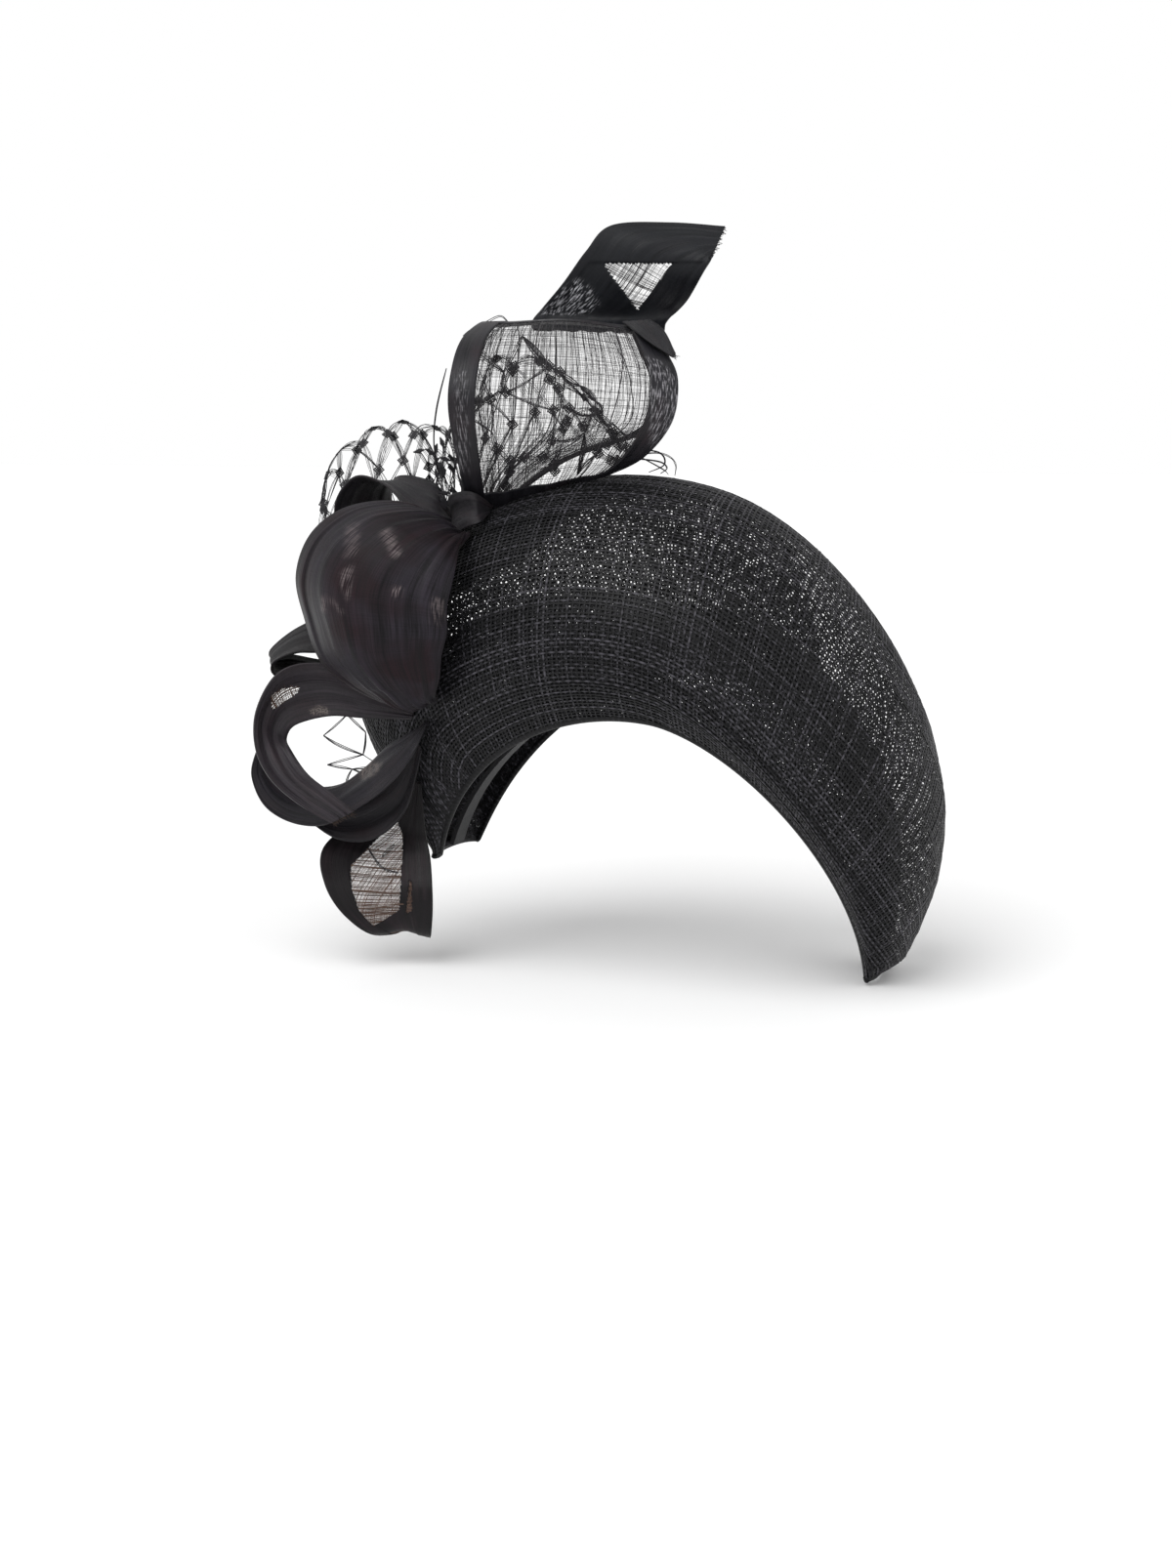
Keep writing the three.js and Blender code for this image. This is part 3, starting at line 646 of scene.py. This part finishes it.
topLoop = dict(rows=[((-33, 0.48), (-14.5, 0.52), 0), ((-43, 107, 42), (20, 111, 42), 2),
    ((-46, 125, 52), (29, 122, 46), 4), ((-45, 139, 50), (31, 136, 44), 5),
    ((-42, 151, 40), (28, 146.5, 36), 4), ((-36, 160.5, 22), (23, 158.5, 22), 2),
    ((-36, 160.5, 4), (24, 158.5, 5), 1), ((-42, 146, -4), (32, 143, -2), 0),
    ((-44, 126, -5), (28, 129, -3), 0), ((-44, 108, -2), (-6, 116.5, -2), 0),
    ((-35.5, 0.59), (-31.5, 0.61), 0)],
    windows=[dict(along=(0.05, 0.475), over=(0.118, 0.872)), dict(along=(0.565, 0.95), over=(0.02, 0.88))],
    node="top_loop", hem=0.14, weave=[(0, 0.34, 0.075), (0, 2.6, 0.17), (1, 0.62, 0.055)],
    dark=(0.003, 0.003, 0.0045), light=(0.012, 0.011, 0.015),
    patches=[(0.9, [(18.8, 154.2), (26, 151.5), (31, 147), (33.5, 137.3), (32, 126.1), (26, 118.9),
    (23, 121.3), (22.6, 137.3), (21, 146.2)]), (0.55, [(-47, 148), (-43, 148), (-42, 112), (-46, 112)])],
    paintedLight=(0.3, 0.29, 0.31), paintedLightGrain=(170, 0.22, 1), paintedLightCut=(0.5, 0.66))
tail = dict(rows=[((-18.5, 162.2, 3), (24.5, 160.8, 3.5), 0), ((-19.5, 165, -1), (28, 163, -2), 0),
    ((-17, 170, -4), (29, 167, -7), 1), ((-8, 180, 0), (32.5, 171, -8), 3),
    ((0, 190, 4), (36.5, 174.5, -3), 3), ((9, 199, 4), (40, 179, 4), 2), ((30, 201, 0), (43, 184, 8), 1),
    ((50, 200.5, -4), (44.5, 187, 8), 0)],
    windows=[dict(outline=[(6, 186.6), (30.8, 186.6), (18.6, 169.8)])],
    patches=[(1, [(-16.5, 168.4), (-7.7, 177.9), (-3.5, 181), (2.1, 177), (5, 172), (0, 168.3)])],
    paintedLight=(0.5, 0.5, 0.53), paintedLightGrain=(75, 0.42, 1), paintedLightCut=(0.5, 0.64), node="tail", hem=0.08, hemAbove=187,
    hemThick=1.1, cell=0.6, weave=[(0, 0.25, 0.1), (1, 0.27, 0.09)], pleats=5, pleatDepth=0.25,
    pleatReach=0.2, dark=(0.0025, 0.003, 0.0045), light=(0.007, 0.008, 0.011), warm=(0.009, 0.009, 0.012),
    gloss=0.22, rests="top_loop", fray=dict(count=60, reach=(0.3, 1.1), thread=0.14))
tailCorner = dict(rows=[((12.6, 160.6, 23.5), (22.5, 164.2, 10), 0),
    ((17.5, 155, 33.5), (26, 158.5, 24), 0.5), ((23, 149.5, 37.5), (28.5, 153, 32), 0.5),
    ((29.6, 145, 39), (30.4, 146.5, 38), 0)],
    hem=0.2, hemThick=0.5, dark=(0.003, 0.003, 0.0045), light=(0.009, 0.0085, 0.0115), cell=0.5,
    pleatDepth=0.1, rests="top_loop", fray=dict(count=16, reach=(0.5, 1.6), thread=0.12))
frontPuff = dict(rows=[((-49.5, 0.2), (-46.5, 0.18), 0), ((-68, 29, 35), (-51, 30, 47), 5),
    ((-80, 34, 30), (-49, 35, 51), 10), ((-91, 43, 24), (-48, 43, 54), 14),
    ((-97, 58, 22), (-46, 50, 56), 16), ((-100, 73, 22), (-46, 58, 56), 16),
    ((-94, 87, 26), (-45, 64, 55), 14), ((-80, 95, 32), (-44, 71, 52), 10), ((-60, 95, 36), (-43, 79, 46), 4),
    ((-35, 0.43), (-32.5, 0.42), 0)],
    patches=[(1, [(-88.2, 75.5), (-83.6, 78.6), (-84.7, 65.5), (-86.5, 68)]),
    (0.8, [(-74, 90.5), (-70.5, 92), (-65.9, 82.5), (-69, 80.5)]),
    (2.2, [(-68.9, 71), (-66.5, 70.4), (-66.9, 67), (-69, 67.6)]),
    (0.6, [(-86, 93), (-81, 94), (-82, 82), (-86.5, 81)]),
    (1.2, [(-95, 67), (-92.7, 67), (-92.9, 62), (-94.8, 62)]),
    (1, [(-92.5, 66.6), (-91.4, 66.6), (-86.8, 61.4), (-87.6, 61)]),
    (0.5, [(-55.4, 67), (-51, 66), (-51.6, 56.5), (-55, 57)])],
    node="front_puff", hem=0.12, hemThick=2, pleats=6, pleatDepth=0.8, pleatReach=0.16, ripple=0.4,
    dark=(0.0022, 0.0017, 0.0026), light=(0.0215, 0.0175, 0.0245), warm=(0.0135, 0.0055, 0.008),
    warmShare=0.72, gloss=0.14, rough=0.5, paintedLight=(0.122, 0.099, 0.102), paintedLightGrain=(120, 0.11, 1),
    paintedLightCut=(0.42, 0.57))
backLoop = dict(rows=[((-35, 0.48), (-37, 0.54), 0), ((-52, 88, 30), (-52, 105, 8.5), 0),
    ((-61, 94, 27), (-60, 109.5, 2), 0), ((-70, 104, 21), (-68, 110, -2), 0),
    ((-81, 107.5, 17), (-70, 104, -3), 0), ((-88.5, 98, 13), (-69, 96, -3.5), 0),
    ((-85, 85, 9), (-69, 87, -4), 0), ((-47.5, 0.48), (-48.5, 0.53), 0)],
    node="back_loop", hem=0.25, pleats=3, pleatDepth=0.5, pleatReach=0.2)
midLoop = dict(rows=[((-53.5, 0.42), (-55, 0.5), 0), ((-92, 47.5, 8), (-94, 61, -10), 0),
    ((-103, 46.5, 6), (-106, 56.5, -14), 0), ((-111, 43, 5), (-114.5, 49.5, -14), 0),
    ((-111, 39, 4), (-114, 46, -12), 0), ((-104, 36.5, 2), (-107, 47, -10), 0),
    ((-92, 38, 0), (-94, 45, -9), 0), ((-58.5, 0.42), (-59, 0.49), 0)],
    node="mid_loop", hem=0.25, pleatDepth=0.3, dark=(0.0018, 0.0015, 0.002), light=(0.0065, 0.005, 0.007),
    warm=(0.008, 0.0045, 0.006), gloss=0.15)
# The ring loop's cloth colours are painted lighter than the other loops': a lit copy of the same black cloth,
# for the light that falls on it
ringLoop = dict(rows=[((-52, 0.2), (-53.8, 0.19), 0), ((-78, 37, 22), (-77, 23, 19), 1),
    ((-94, 42, 20), (-90, 24, 13), 2), ((-106.5, 38.5, 24), (-102, 21, 14), 3),
    ((-114, 26, 25), (-105, 16, 17), 3), ((-114.5, 13, 27), (-102, 11, 23), 2),
    ((-109, 2, 30), (-96, 3.5, 27), 2), ((-99, -7, 30), (-88.5, -2.5, 28), 1),
    ((-88, -13.5, 28), (-80, -9.5, 29), 0)],
    windows=[dict(outline=[(-113.1, 31.2), (-112.5, 32.3), (-108.4, 34.5), (-102.4, 34.9), (-103.5, 32.7),
    (-107.3, 29.7), (-112.5, 26.6)])],
    weave=[(0, 0.24, 0.13), (1, 0.28, 0.13)], even=0.65, fibre="warm",
    patches=[(0.4, [(-99.4, 25.9), (-95.6, 28.2), (-92.6, 27), (-91.8, 25.1), (-97.9, 24.8)])],
    paintedLight=(0.33, 0.28, 0.25), paintedLightGrain=(40, 1.5, 1), node="ring_loop", hem=0.2, cell=0.4, pleats=3,
    pleatDepth=0.35, ripple=0.5, ripples=2.6, dark=(0.006, 0.005, 0.0065), light=(0.036, 0.029, 0.036),
    warm=(0.034, 0.024, 0.029), fray=dict(count=40, reach=(0.6, 1.8), thread=0.12, fibre="warm"))
crossLoop = dict(rows=[((-51, 0.16), (-53, 0.165), 0), ((-59, 10, 36), (-63, 16, 29), 1),
    ((-68, -1, 31), (-69, 13, 22), 2), ((-80, -9, 21), (-77, 6.5, 12), 2),
    ((-92, -14.5, 15), (-86, 0.5, 7), 2), ((-104, -13.5, 12), (-95, -1, 5), 2),
    ((-113.5, -7.5, 12), (-103, 1.5, 5), 2), ((-118, 3, 12), (-109, 6, 7), 1),
    ((-116, 12, 13), (-111, 11, 9), 0)],
    patches=[(0.4, [(-81.3, 4.1), (-76.8, 7.8), (-73, 7.5), (-74.5, 4.1), (-79.8, 1.1)])],
    paintedLight=(0.25, 0.21, 0.19), paintedLightGrain=(22, 0.9, 1), node="cross_loop", hem=0.2, cell=0.5, pleats=3,
    pleatDepth=0.35, ripple=0.5, ripples=2.3, light=(0.016, 0.013, 0.019), warm=(0.022, 0.016, 0.02))
underLoop = dict(rows=[((-56, 0.17), (-57.5, 0.14), 0), ((-66, 3, 19), (-63, -9, 19), 1),
    ((-77, -5, 12), (-74, -19, 16), 1), ((-88, -9, 9), (-87, -19.5, 13), 1),
    ((-98, -9, 5), (-99, -13, 7), 0)],
    node="under_loop", hem=0.3, pleatDepth=0.2)
lowerLoop = dict(rows=[((-66, 0.17), (-64.5, 0.12), 0), ((-82, -12, 0), (-57, -16, 9), 1),
    ((-93.5, -23, 7), (-55, -26, 11), 2), ((-92, -35, 14), (-54, -37, 15), 3),
    ((-85, -46, 16), (-54, -46, 14), 3), ((-76, -53, 10), (-55, -54, 8), 2),
    ((-68, -52, -2), (-56, -53, -3), 1), ((-66.5, -41, -9), (-56, -41, -9), 0),
    ((-66, -24, -6), (-58, -24, -6), 0), ((-71.5, 0.25), (-72.5, 0.23), 0)],
    windows=[dict(along=(0, 0.53), outline=[(-67.9, -12.6), (-84.4, -29.4), (-84, -37.5), (-81.6, -45.2),
    (-76, -51.1), (-66.9, -45.2), (-65.5, -18.9)]),
    dict(along=(0, 0.53), outline=[(-64.6, -46.6), (-62.2, -45.5), (-62.4, -35.5), (-63.2, -34.5)]),
    dict(along=(0.58, 0.97), over=(0.17, 0.9))],
    node="lower_loop", hem=0.25, cell=0.5, weave=[(0, 0.155, 0.11), (0, 2.4, 0.16), (1, 0.21, 0.11)],
    slant=-2, even=0.85, flatness=0.2, fibre="warm", dark=(0.0022, 0.0018, 0.0022),
    light=(0.0075, 0.0052, 0.0068), gloss=0.18)
knotWrap = dict(rows=[((-36.5, 0.47), (-36.5, 0.53), 0), ((-45.5, 86, 31), (-47.5, 99, 24), 1),
    ((-40.5, 87.5, 37.5), (-43, 100, 35), 1), ((-36, 89, 39), (-37.5, 99, 38), 1),
    ((-30, 0.455), (-29.8, 0.48), 0)],
    hem=0.25, cell=0.5, pleats=3, pleatDepth=0.3)

ribbonPieces = dict(topLoop=topLoop, tailRibbon=tail, tailCorner=tailCorner, frontPuff=frontPuff,
    backLoop=backLoop, midLoop=midLoop, ringLoop=ringLoop, crossLoop=crossLoop, underLoop=underLoop,
    lowerLoop=lowerLoop, knotWrap=knotWrap)


# One ribbon: solid cloth with doubled hems round its sheer windows, and the threads of the windows
def makeRibbon(name, made):
    made = ribbon | made
    draft = ribbonGrid(made, *made["draft"])  # a coarse one first, to measure
    length = np.linalg.norm(np.diff(draft[:, draft.shape[1] // 2], axis=0), axis=1).sum()
    widest = np.linalg.norm(np.diff(draft, axis=1), axis=2).sum(1).max()
    steps, lanes = int(length / made["cell"]), int(widest / made["cell"])
    grid = ribbonGrid(made, steps, lanes)
    normals = gridNormals(grid)
    masks = windowCells(made, grid)
    isOpen = masks.any(0)
    t, u = np.meshgrid(np.linspace(0, 1, steps + 1), np.linspace(0, 1, lanes + 1), indexing="ij")
    inHem = np.clip((made["hem"] - np.minimum(u, 1 - u)) / made["hemFade"] + 0.5, 0, 1)
    if made["hemAbove"]:
        above = (asSeen(grid)[1] - made["hemAbove"]) / made["hemAboveFade"]
        inHem = np.maximum(inHem, np.clip(above + 0.5, 0, 1))
    thick = made["thick"] + (made["hemThick"] - made["thick"]) * inHem
    points, quads, used = maskedShell(grid, normals, thick, ~isOpen)
    uv = np.stack([u, t * length], -1).reshape(-1, 2)[used]
    parts = [dict(points=points, quads=quads, uv=uv, material=ribbonMaterial(name + "Cloth", made))]
    # The patches' share of painted light at each point
    if made["patches"]:
        parts[0]["paintedLight"] = paintedLightShare(made["patches"], grid).ravel()[used]
    cells = np.linalg.norm(np.cross(grid[1:, 1:] - grid[:-1, :-1], grid[1:, :-1] - grid[:-1, 1:]), axis=2) / 2
    width = cells.sum() / length
    for window, mask in zip(made["windows"], masks):
        parts += clothThreads(made | window, grid, normals, mask, length, width)
    if "fray" in made:
        parts.append(frayedEnd(grid, normals, made["fray"]))
    piece = makePiece(name, "ribbon", *parts)
    if "node" in made:
        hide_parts(made["node"])
    print(name, "length mm", round(length), "mean width", round(width, 1), "quads", len(piece.data.polygons))


for pieceName, made in ribbonPieces.items():
    makeRibbon(pieceName, made)
print("ribbons done")

# Veiling: a net of thread bundles that meet at small woven spots
net = dict(fan=0.55, thread=0.15, jitter=0.17, pinch=0.3, fanRange=(0.4, 1.3), astray=0.12, lift=0.25,
    sideSteps=7, lookAhead=0.02, spotFill=0.8, spot=3.2, spotThread=0.36, spotThick=0.2, spotLanes=5,
    spotLift=0.1, spotTurn=(0.5, 1.1))


# Black net thread with a fine fuzz of lighter fibres
def threadMaterial():
    material, tree, shader = newMaterial("netThread")
    place = addNode(tree, "ShaderNodeTexCoord").outputs["Object"]
    fuzz = stretchedNoise(tree, place, (900, 900, 900))
    colour = ramp(tree, fuzz, [(0.3, (0.006, 0.006, 0.008)), (0.7, (0.026, 0.024, 0.028))])
    setInputs(tree, shader, {"Base Color": colour, "Roughness": carried(tree, fuzz, 0.4, 0.7),
                             "Specular IOR Level": 0.25})
    return material


netLook = threadMaterial()


# A few fine threads side by side along each line, which bow apart by a half sine between its two ends
def threadBundles(middle, normal, made):
    made = net | made
    lines, count = len(middle), made["threads"]
    t = np.linspace(0, 1, middle.shape[1])
    bow = np.sin(math.pi * t)
    side = np.cross(normal, unit(np.gradient(middle, axis=1)))
    lane = np.arange(count) - (count - 1) / 2
    apart = made["pinch"] + (1 - made["pinch"]) * bow
    spread = lane[None, :, None] * made["fan"] * apart * rng.uniform(*made["fanRange"], (lines, 1, 1))
    spread = spread + rng.normal(0, made["astray"], (lines, count, 1)) * bow
    lift = rng.normal(0, made["lift"], (lines, count, 1)) * bow
    paths = middle[:, None] + side[:, None] * spread[..., None] + normal[:, None] * lift[..., None]
    normals = np.broadcast_to(normal[:, None], paths.shape)
    shape = (lines * count, len(t), 3)
    return wholeThreads(paths.reshape(shape), normals.reshape(shape), made["thread"], made["thread"], netLook)


# Net over a surface of two shares: spots stand at the corners of a diamond lattice, and every lattice side
# carries a bundle of threads
def makeNet(name, surface, made):
    along, over = made["along"], made["over"]
    i, j = np.meshgrid(np.arange(along + 1), np.arange(over + 1), indexing="ij")
    jitter = rng.normal(0, net["jitter"], (2,) + i.shape)
    a = np.clip((i + 0.5 * (j % 2) + jitter[0]) / (along + 0.5), 0, 1)
    b = np.clip((j + jitter[1]) / over, 0, 1)
    sides = []
    for step in (0, 1):
        far = i + np.where(j % 2 == 1, step, step - 1)
        ok = (j < over) & (far >= 0) & (far <= along)
        near = np.stack([a, b], -1)[ok]
        end = np.stack([a[far[ok], j[ok] + 1], b[far[ok], j[ok] + 1]], -1)
        sides.append(np.concatenate([near, end], -1))
    sides = np.concatenate(sides)
    t = np.linspace(0, 1, net["sideSteps"])[None, :, None]
    line = sides[:, None, :2] * (1 - t) + sides[:, None, 2:] * t
    parts = [threadBundles(*surface(line[..., 0], line[..., 1]), made)]
    if made["spots"]:
        a, b = a.ravel(), b.ravel()
        further, nearer = np.clip(b + net["lookAhead"], 0, 1), np.clip(b - net["lookAhead"], 0, 1)
        ahead = surface(a, further)[0] - surface(a, nearer)[0]
        parts.append(netSpots(*surface(a, b), unit(ahead)))
    piece = makePiece(name, "net_thread", *parts, smooth=False)
    if "node" in made:
        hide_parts(made["node"])
    print(name, "sides", len(sides), "quads", len(piece.data.polygons))


# Woven spots: short threads side by side, a set each way, one set over the other in the surface
def netSpots(place, normal, ahead):
    side = np.cross(normal, ahead)
    turn = rng.uniform(*net["spotTurn"], len(place))[:, None]
    ahead, side = ahead * np.cos(turn) + side * np.sin(turn), side * np.cos(turn) - ahead * np.sin(turn)
    half, lanes, lift = net["spot"] / 2, net["spotLanes"], net["spotLift"]
    lane = np.linspace(-half * net["spotFill"], half * net["spotFill"], lanes)
    t = np.array([-1.0, -0.3, 0.3, 1.0]) * half
    rows = [place[:, None, None] + forward[:, None, None] * t[None, None, :, None]
            + lateral[:, None, None] * lane[None, :, None, None] + normal[:, None, None] * height
            for forward, lateral, height in ((ahead, side, lift), (side, ahead, -lift))]
    paths = np.concatenate(rows, 1).reshape(-1, len(t), 3)
    normals = np.repeat(normal, 2 * lanes, 0)[:, None].repeat(len(t), 1)
    return wholeThreads(paths, normals, net["spotThread"], net["spotThick"], netLook)


# Net puff: half an ellipse over each row, from its front foot over its crest to its back foot. A row gives
# its place across, the heights of foot and crest, and the depths of front and back
veilPuff = dict(along=9, over=6, threads=5, spots=True, node="veil_puff",
    rows=[(-97, 92, 103, -13, -20), (-94, 92, 118, -13, -29), (-85, 95, 128, -12, -34),
    (-73, 98, 133, -10, -33), (-62, 97, 133, -9, -29), (-52, 98, 130, -5, -19), (-42, 98, 134, 24, 14),
    (-30, 102, 147, 34, 27), (-15, 107, 145, 37, 30), (0, 109, 132, 37, 30), (14, 111, 119, 37, 31)])


def puffPoint(a, b):
    side, foot, crest, front, back = np.moveaxis(smoothRows(veilPuff["rows"], a), -1, 0)
    turn = math.pi * b
    high = foot + (crest - foot) * np.sin(turn)
    return atTrim(side, high, back + (front - back) * (1 + np.cos(turn)) / 2)


# A surface that gives its points with their normals, from small steps of both shares
def withNormal(point, step=0.01):
    def surface(a, b):
        da = point(np.clip(a + step, 0, 1), b) - point(np.clip(a - step, 0, 1), b)
        db = point(a, np.clip(b + step, 0, 1)) - point(a, np.clip(b - step, 0, 1))
        return point(a, b), unit(np.cross(db, da))
    return surface


# Net frill: a straight line from the free edge to the edge that is sewn down
veilFrill = dict(along=3, over=2, threads=3, fan=0.3, thread=0.24, spots=False, node="veil_frill",
    rows=[((-93, 26, -4), (-63.5, 0.37)), ((-95, 14, -6), (-67, 0.34)), ((-92, 4, -6), (-69, 0.3)),
    ((-84, -6, -4), (-71, 0.28))])


def frillPoint(a, b):
    left = smoothRows([spotOf(row[0]) for row in veilFrill["rows"]], a)
    right = smoothRows([spotOf(row[1]) for row in veilFrill["rows"]], a)
    return left * (1 - b[..., None]) + right * b[..., None]


# Net tuft: a crumpled strip between two short edges, its folds two sines of the shares
veilTuft = dict(along=3, over=4, threads=4, spots=True, low=(-47, 99, 14), high=(-55, 121, -2),
    side=(10, 3, 6), fold=3)


def tuftPoint(a, b):
    low, high, side = (np.array(veilTuft[key]) for key in ("low", "high", "side"))
    local = low * (1 - b[..., None]) + high * b[..., None] + side * (a[..., None] - 0.5)
    folds = veilTuft["fold"] * (np.sin(9 * b + 4 * a) + np.sin(7 * a - 5 * b))
    return atTrim(local[..., 0], local[..., 1], local[..., 2] + folds)


makeNet("veilPuff", withNormal(puffPoint), veilPuff)
makeNet("veilTuft", withNormal(tuftPoint), veilTuft)
makeNet("veilFrill", withNormal(frillPoint), veilFrill)

# Gathered net inside the top loop: knots joined by bundles of threads, tied to the hems and to the band, each
# line sagging by a half sine. A knot is a place with a woven spot (1) or without one (0), and a tie names two
# knots and its bundles
veilFold = dict(threads=5, fan=0.34, thread=0.17, slack=0.7, steps=9,
    knots=[((-41.5, 150.5, 40.5), 0), ((-27.9, 139.7, 41), 0), ((-27.1, 132.8, 41), 1),
    ((-32.4, 130.5, 42), 1), ((-18.7, 137.4, 41), 0), ((-12.6, 141.9, 41), 1), ((-8.9, 139.7, 41), 1),
    ((-21.7, 152.5, 38), 0), ((-2, 135, 41), 0), ((3.3, 129.7, 41), 0), ((5.6, 126, 41), 0),
    ((1.8, 125.2, 41), 0), ((-0.5, 119.2, 41), 0), ((-19.4, 0.54), 0), ((-11.1, 126.7, 41), 1),
    ((-5.8, 127.5, 41), 1), ((8.6, 121.4, 41), 0), ((9.4, 116.9, 40), 1), ((7.1, 115.3, 40), 1),
    ((4.1, 112.3, 40), 1), ((-11.5, 116.5, 41), 1), ((-30.1, 113.9, 41), 1), ((-25.6, 109.6, 41), 1),
    ((-21, 110.8, 41), 1), ((-14.5, 110.8, 41), 1), ((-45.2, 125, 51), 0), ((-32, 119.2, 42), 0),
    ((-31.2, 0.52), 0), ((24.5, 116.5, 43.5), 0)],
    ties=[(0, 1, 2), (1, 2, 2), (2, 3, 1), (3, 25, 1), (2, 4, 1), (4, 5, 1), (5, 6, 3), (7, 5, 4), (6, 8, 4),
    (8, 9, 4), (9, 10, 3), (10, 11, 2), (11, 12, 3), (12, 13, 3), (2, 14, 1), (14, 15, 1), (15, 11, 2),
    (14, 20, 1), (11, 16, 2), (16, 17, 2), (17, 18, 2), (18, 19, 2), (19, 13, 2), (20, 24, 1), (24, 23, 1),
    (23, 22, 1), (22, 21, 1), (21, 26, 1), (26, 25, 1), (26, 3, 1), (22, 27, 2), (21, 27, 2), (20, 12, 1),
    (17, 28, 1), (0, 3, 1), (1, 7, 1), (10, 16, 1)])


def makeFold():
    knots = np.array([spotOf(place) for place, _ in veilFold["knots"]])
    spotted = np.array([spot for _, spot in veilFold["knots"]], bool)
    near, far, bundles = np.array(veilFold["ties"]).T
    near, far = near.repeat(bundles), far.repeat(bundles)
    t = np.linspace(0, 1, veilFold["steps"])[None, :, None]
    sag = rng.normal(0, veilFold["slack"], (len(near), 1, 3)) * np.sin(math.pi * t)
    lines = knots[near][:, None] * (1 - t) + knots[far][:, None] * t + sag
    facing = np.broadcast_to(toward, (len(knots), 3))[spotted]
    parts = [threadBundles(lines, np.broadcast_to(toward, lines.shape), veilFold),
             netSpots(knots[spotted], facing, np.broadcast_to(upward, facing.shape))]
    piece = makePiece("veilFold", "net_thread", *parts, smooth=False)
    print("veilFold", "ties", len(near), "quads", len(piece.data.polygons))


makeFold()

# Loose strands of the net that stray over the loops, each a smooth line through a few places
strays = dict(threads=3, fan=0.3, thread=0.2, steps=25, offCloth=0.4, grid=(120, 60), frontRows=62,
    lines=[[(-42, 153, 36), (-40, 156.5, 29), (-35, 160.5, 23), (-29.7, 163.4, 20), (-26.5, 160.6, 17)],
    [(-47, 140, 46), (-51, 128, 36), (-53, 118, 20), (-52, 108, 0)],
    [(14.5, 112, 35), (24, 113.7, 32), (29, 112.5, 30), (31, 110, 28), (-7.2, 0.55)],
    [(14.5, 111.5, 35), (25, 111, 31), (28, 109, 29), (-9, 0.55)],
    [(14.5, 114, 35), (26, 108.5, 31), (-8, 0.55)],
    [(14.5, 115, 34), (25, 113.9, 32), (27, 110, 30), (-10.5, 0.55)]],
    onLowerLoop=[[(-77.9, -23), (-73, -29.8), (-67, -31.7)], [(-73, -26), (-70.5, -23.5), (-68.9, -21.5)]])


# Places on the front leg of the lower loop that are nearest to those the viewer sees, just off its cloth
def onLowerLoop(places):
    grid = ribbonGrid(ribbon | lowerLoop, *strays["grid"])[:strays["frontRows"]]
    x, y = asSeen(grid)
    nearest = [np.hypot(x - side, y - high).argmin() for side, high in places]
    return grid.reshape(-1, 3)[nearest] + toward * strays["offCloth"]


t = np.linspace(0, 1, strays["steps"])
middle = [smoothRows([spotOf(place) for place in line], t) for line in strays["lines"]]
middle = np.stack(middle + [smoothRows(onLowerLoop(places), t) for places in strays["onLowerLoop"]])
strayNormal = np.broadcast_to(toward, middle.shape)
makePiece("strayStrands", "net_thread", threadBundles(middle, strayNormal, strays), smooth=False)
print("net done")

# Head band inside the hollow keeps its solid, with a matt woven finish
bandCloth, tree, shader = newMaterial("headBandCloth")
place = addNode(tree, "ShaderNodeTexCoord").outputs["Object"]
weave = stretchedNoise(tree, place, (1400, 1400, 1400), 3)
colour = ramp(tree, weave, [(0.3, (0.004, 0.004, 0.005)), (0.7, (0.012, 0.012, 0.014))])
bump = addNode(tree, "ShaderNodeBump", {"Height": weave, "Strength": 0.4, "Distance": 0.0003})
setInputs(tree, shader, {"Base Color": colour, "Normal": bump.outputs[0], "Roughness": 0.7})
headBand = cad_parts["head_band"]
headBand.data.materials.clear()
headBand.data.materials.append(bandCloth)

# Pale floor, white surroundings and soft light
stage = dict(floorSize=12.0, floorGap=0.001, fill=0.62, lights=dict(
    keyLight=dict(turn=-25, lean=38, strength=2.0, spread=50),
    sideLight=dict(turn=60, lean=60, strength=0.6, spread=60)))
low = min(cadBox[0][2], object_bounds()[0][2])
floorMesh = bpy.data.meshes.new("floor")
half = stage["floorSize"] / 2
corners = [(-half, -half), (half, -half), (half, half), (-half, half)]
floorMesh.from_pydata([(x, y, low - stage["floorGap"]) for x, y in corners], [], [(0, 1, 2, 3)])
floorLook, tree, shader = newMaterial("paleFloor")
setInputs(tree, shader, {"Base Color": (0.96, 0.96, 0.96, 1), "Roughness": 0.9})
floorMesh.materials.append(floorLook)
floor = addObject("floor", floorMesh)

# The surroundings are white to the eye and a softer fill to the object
world = bpy.data.worlds.new("studio")
world.use_nodes = True
tree = world.node_tree
seen = addNode(tree, "ShaderNodeLightPath").outputs["Is Camera Ray"]
level = carried(tree, seen, stage["fill"], 1.0)
setInputs(tree, tree.nodes["Background"], {"Color": (1, 1, 1, 1), "Strength": level})
bpy.context.scene.world = world

for lightName, light in stage["lights"].items():
    data = bpy.data.lights.new(lightName, "SUN")
    data.energy = light["strength"]
    data.angle = math.radians(light["spread"])
    lamp = addObject(lightName, data)
    lamp.rotation_euler = (math.radians(light["lean"]), 0, math.radians(light["turn"]))
bpy.context.scene.view_settings.view_transform = "Standard"

bpy.context.view_layer.update()
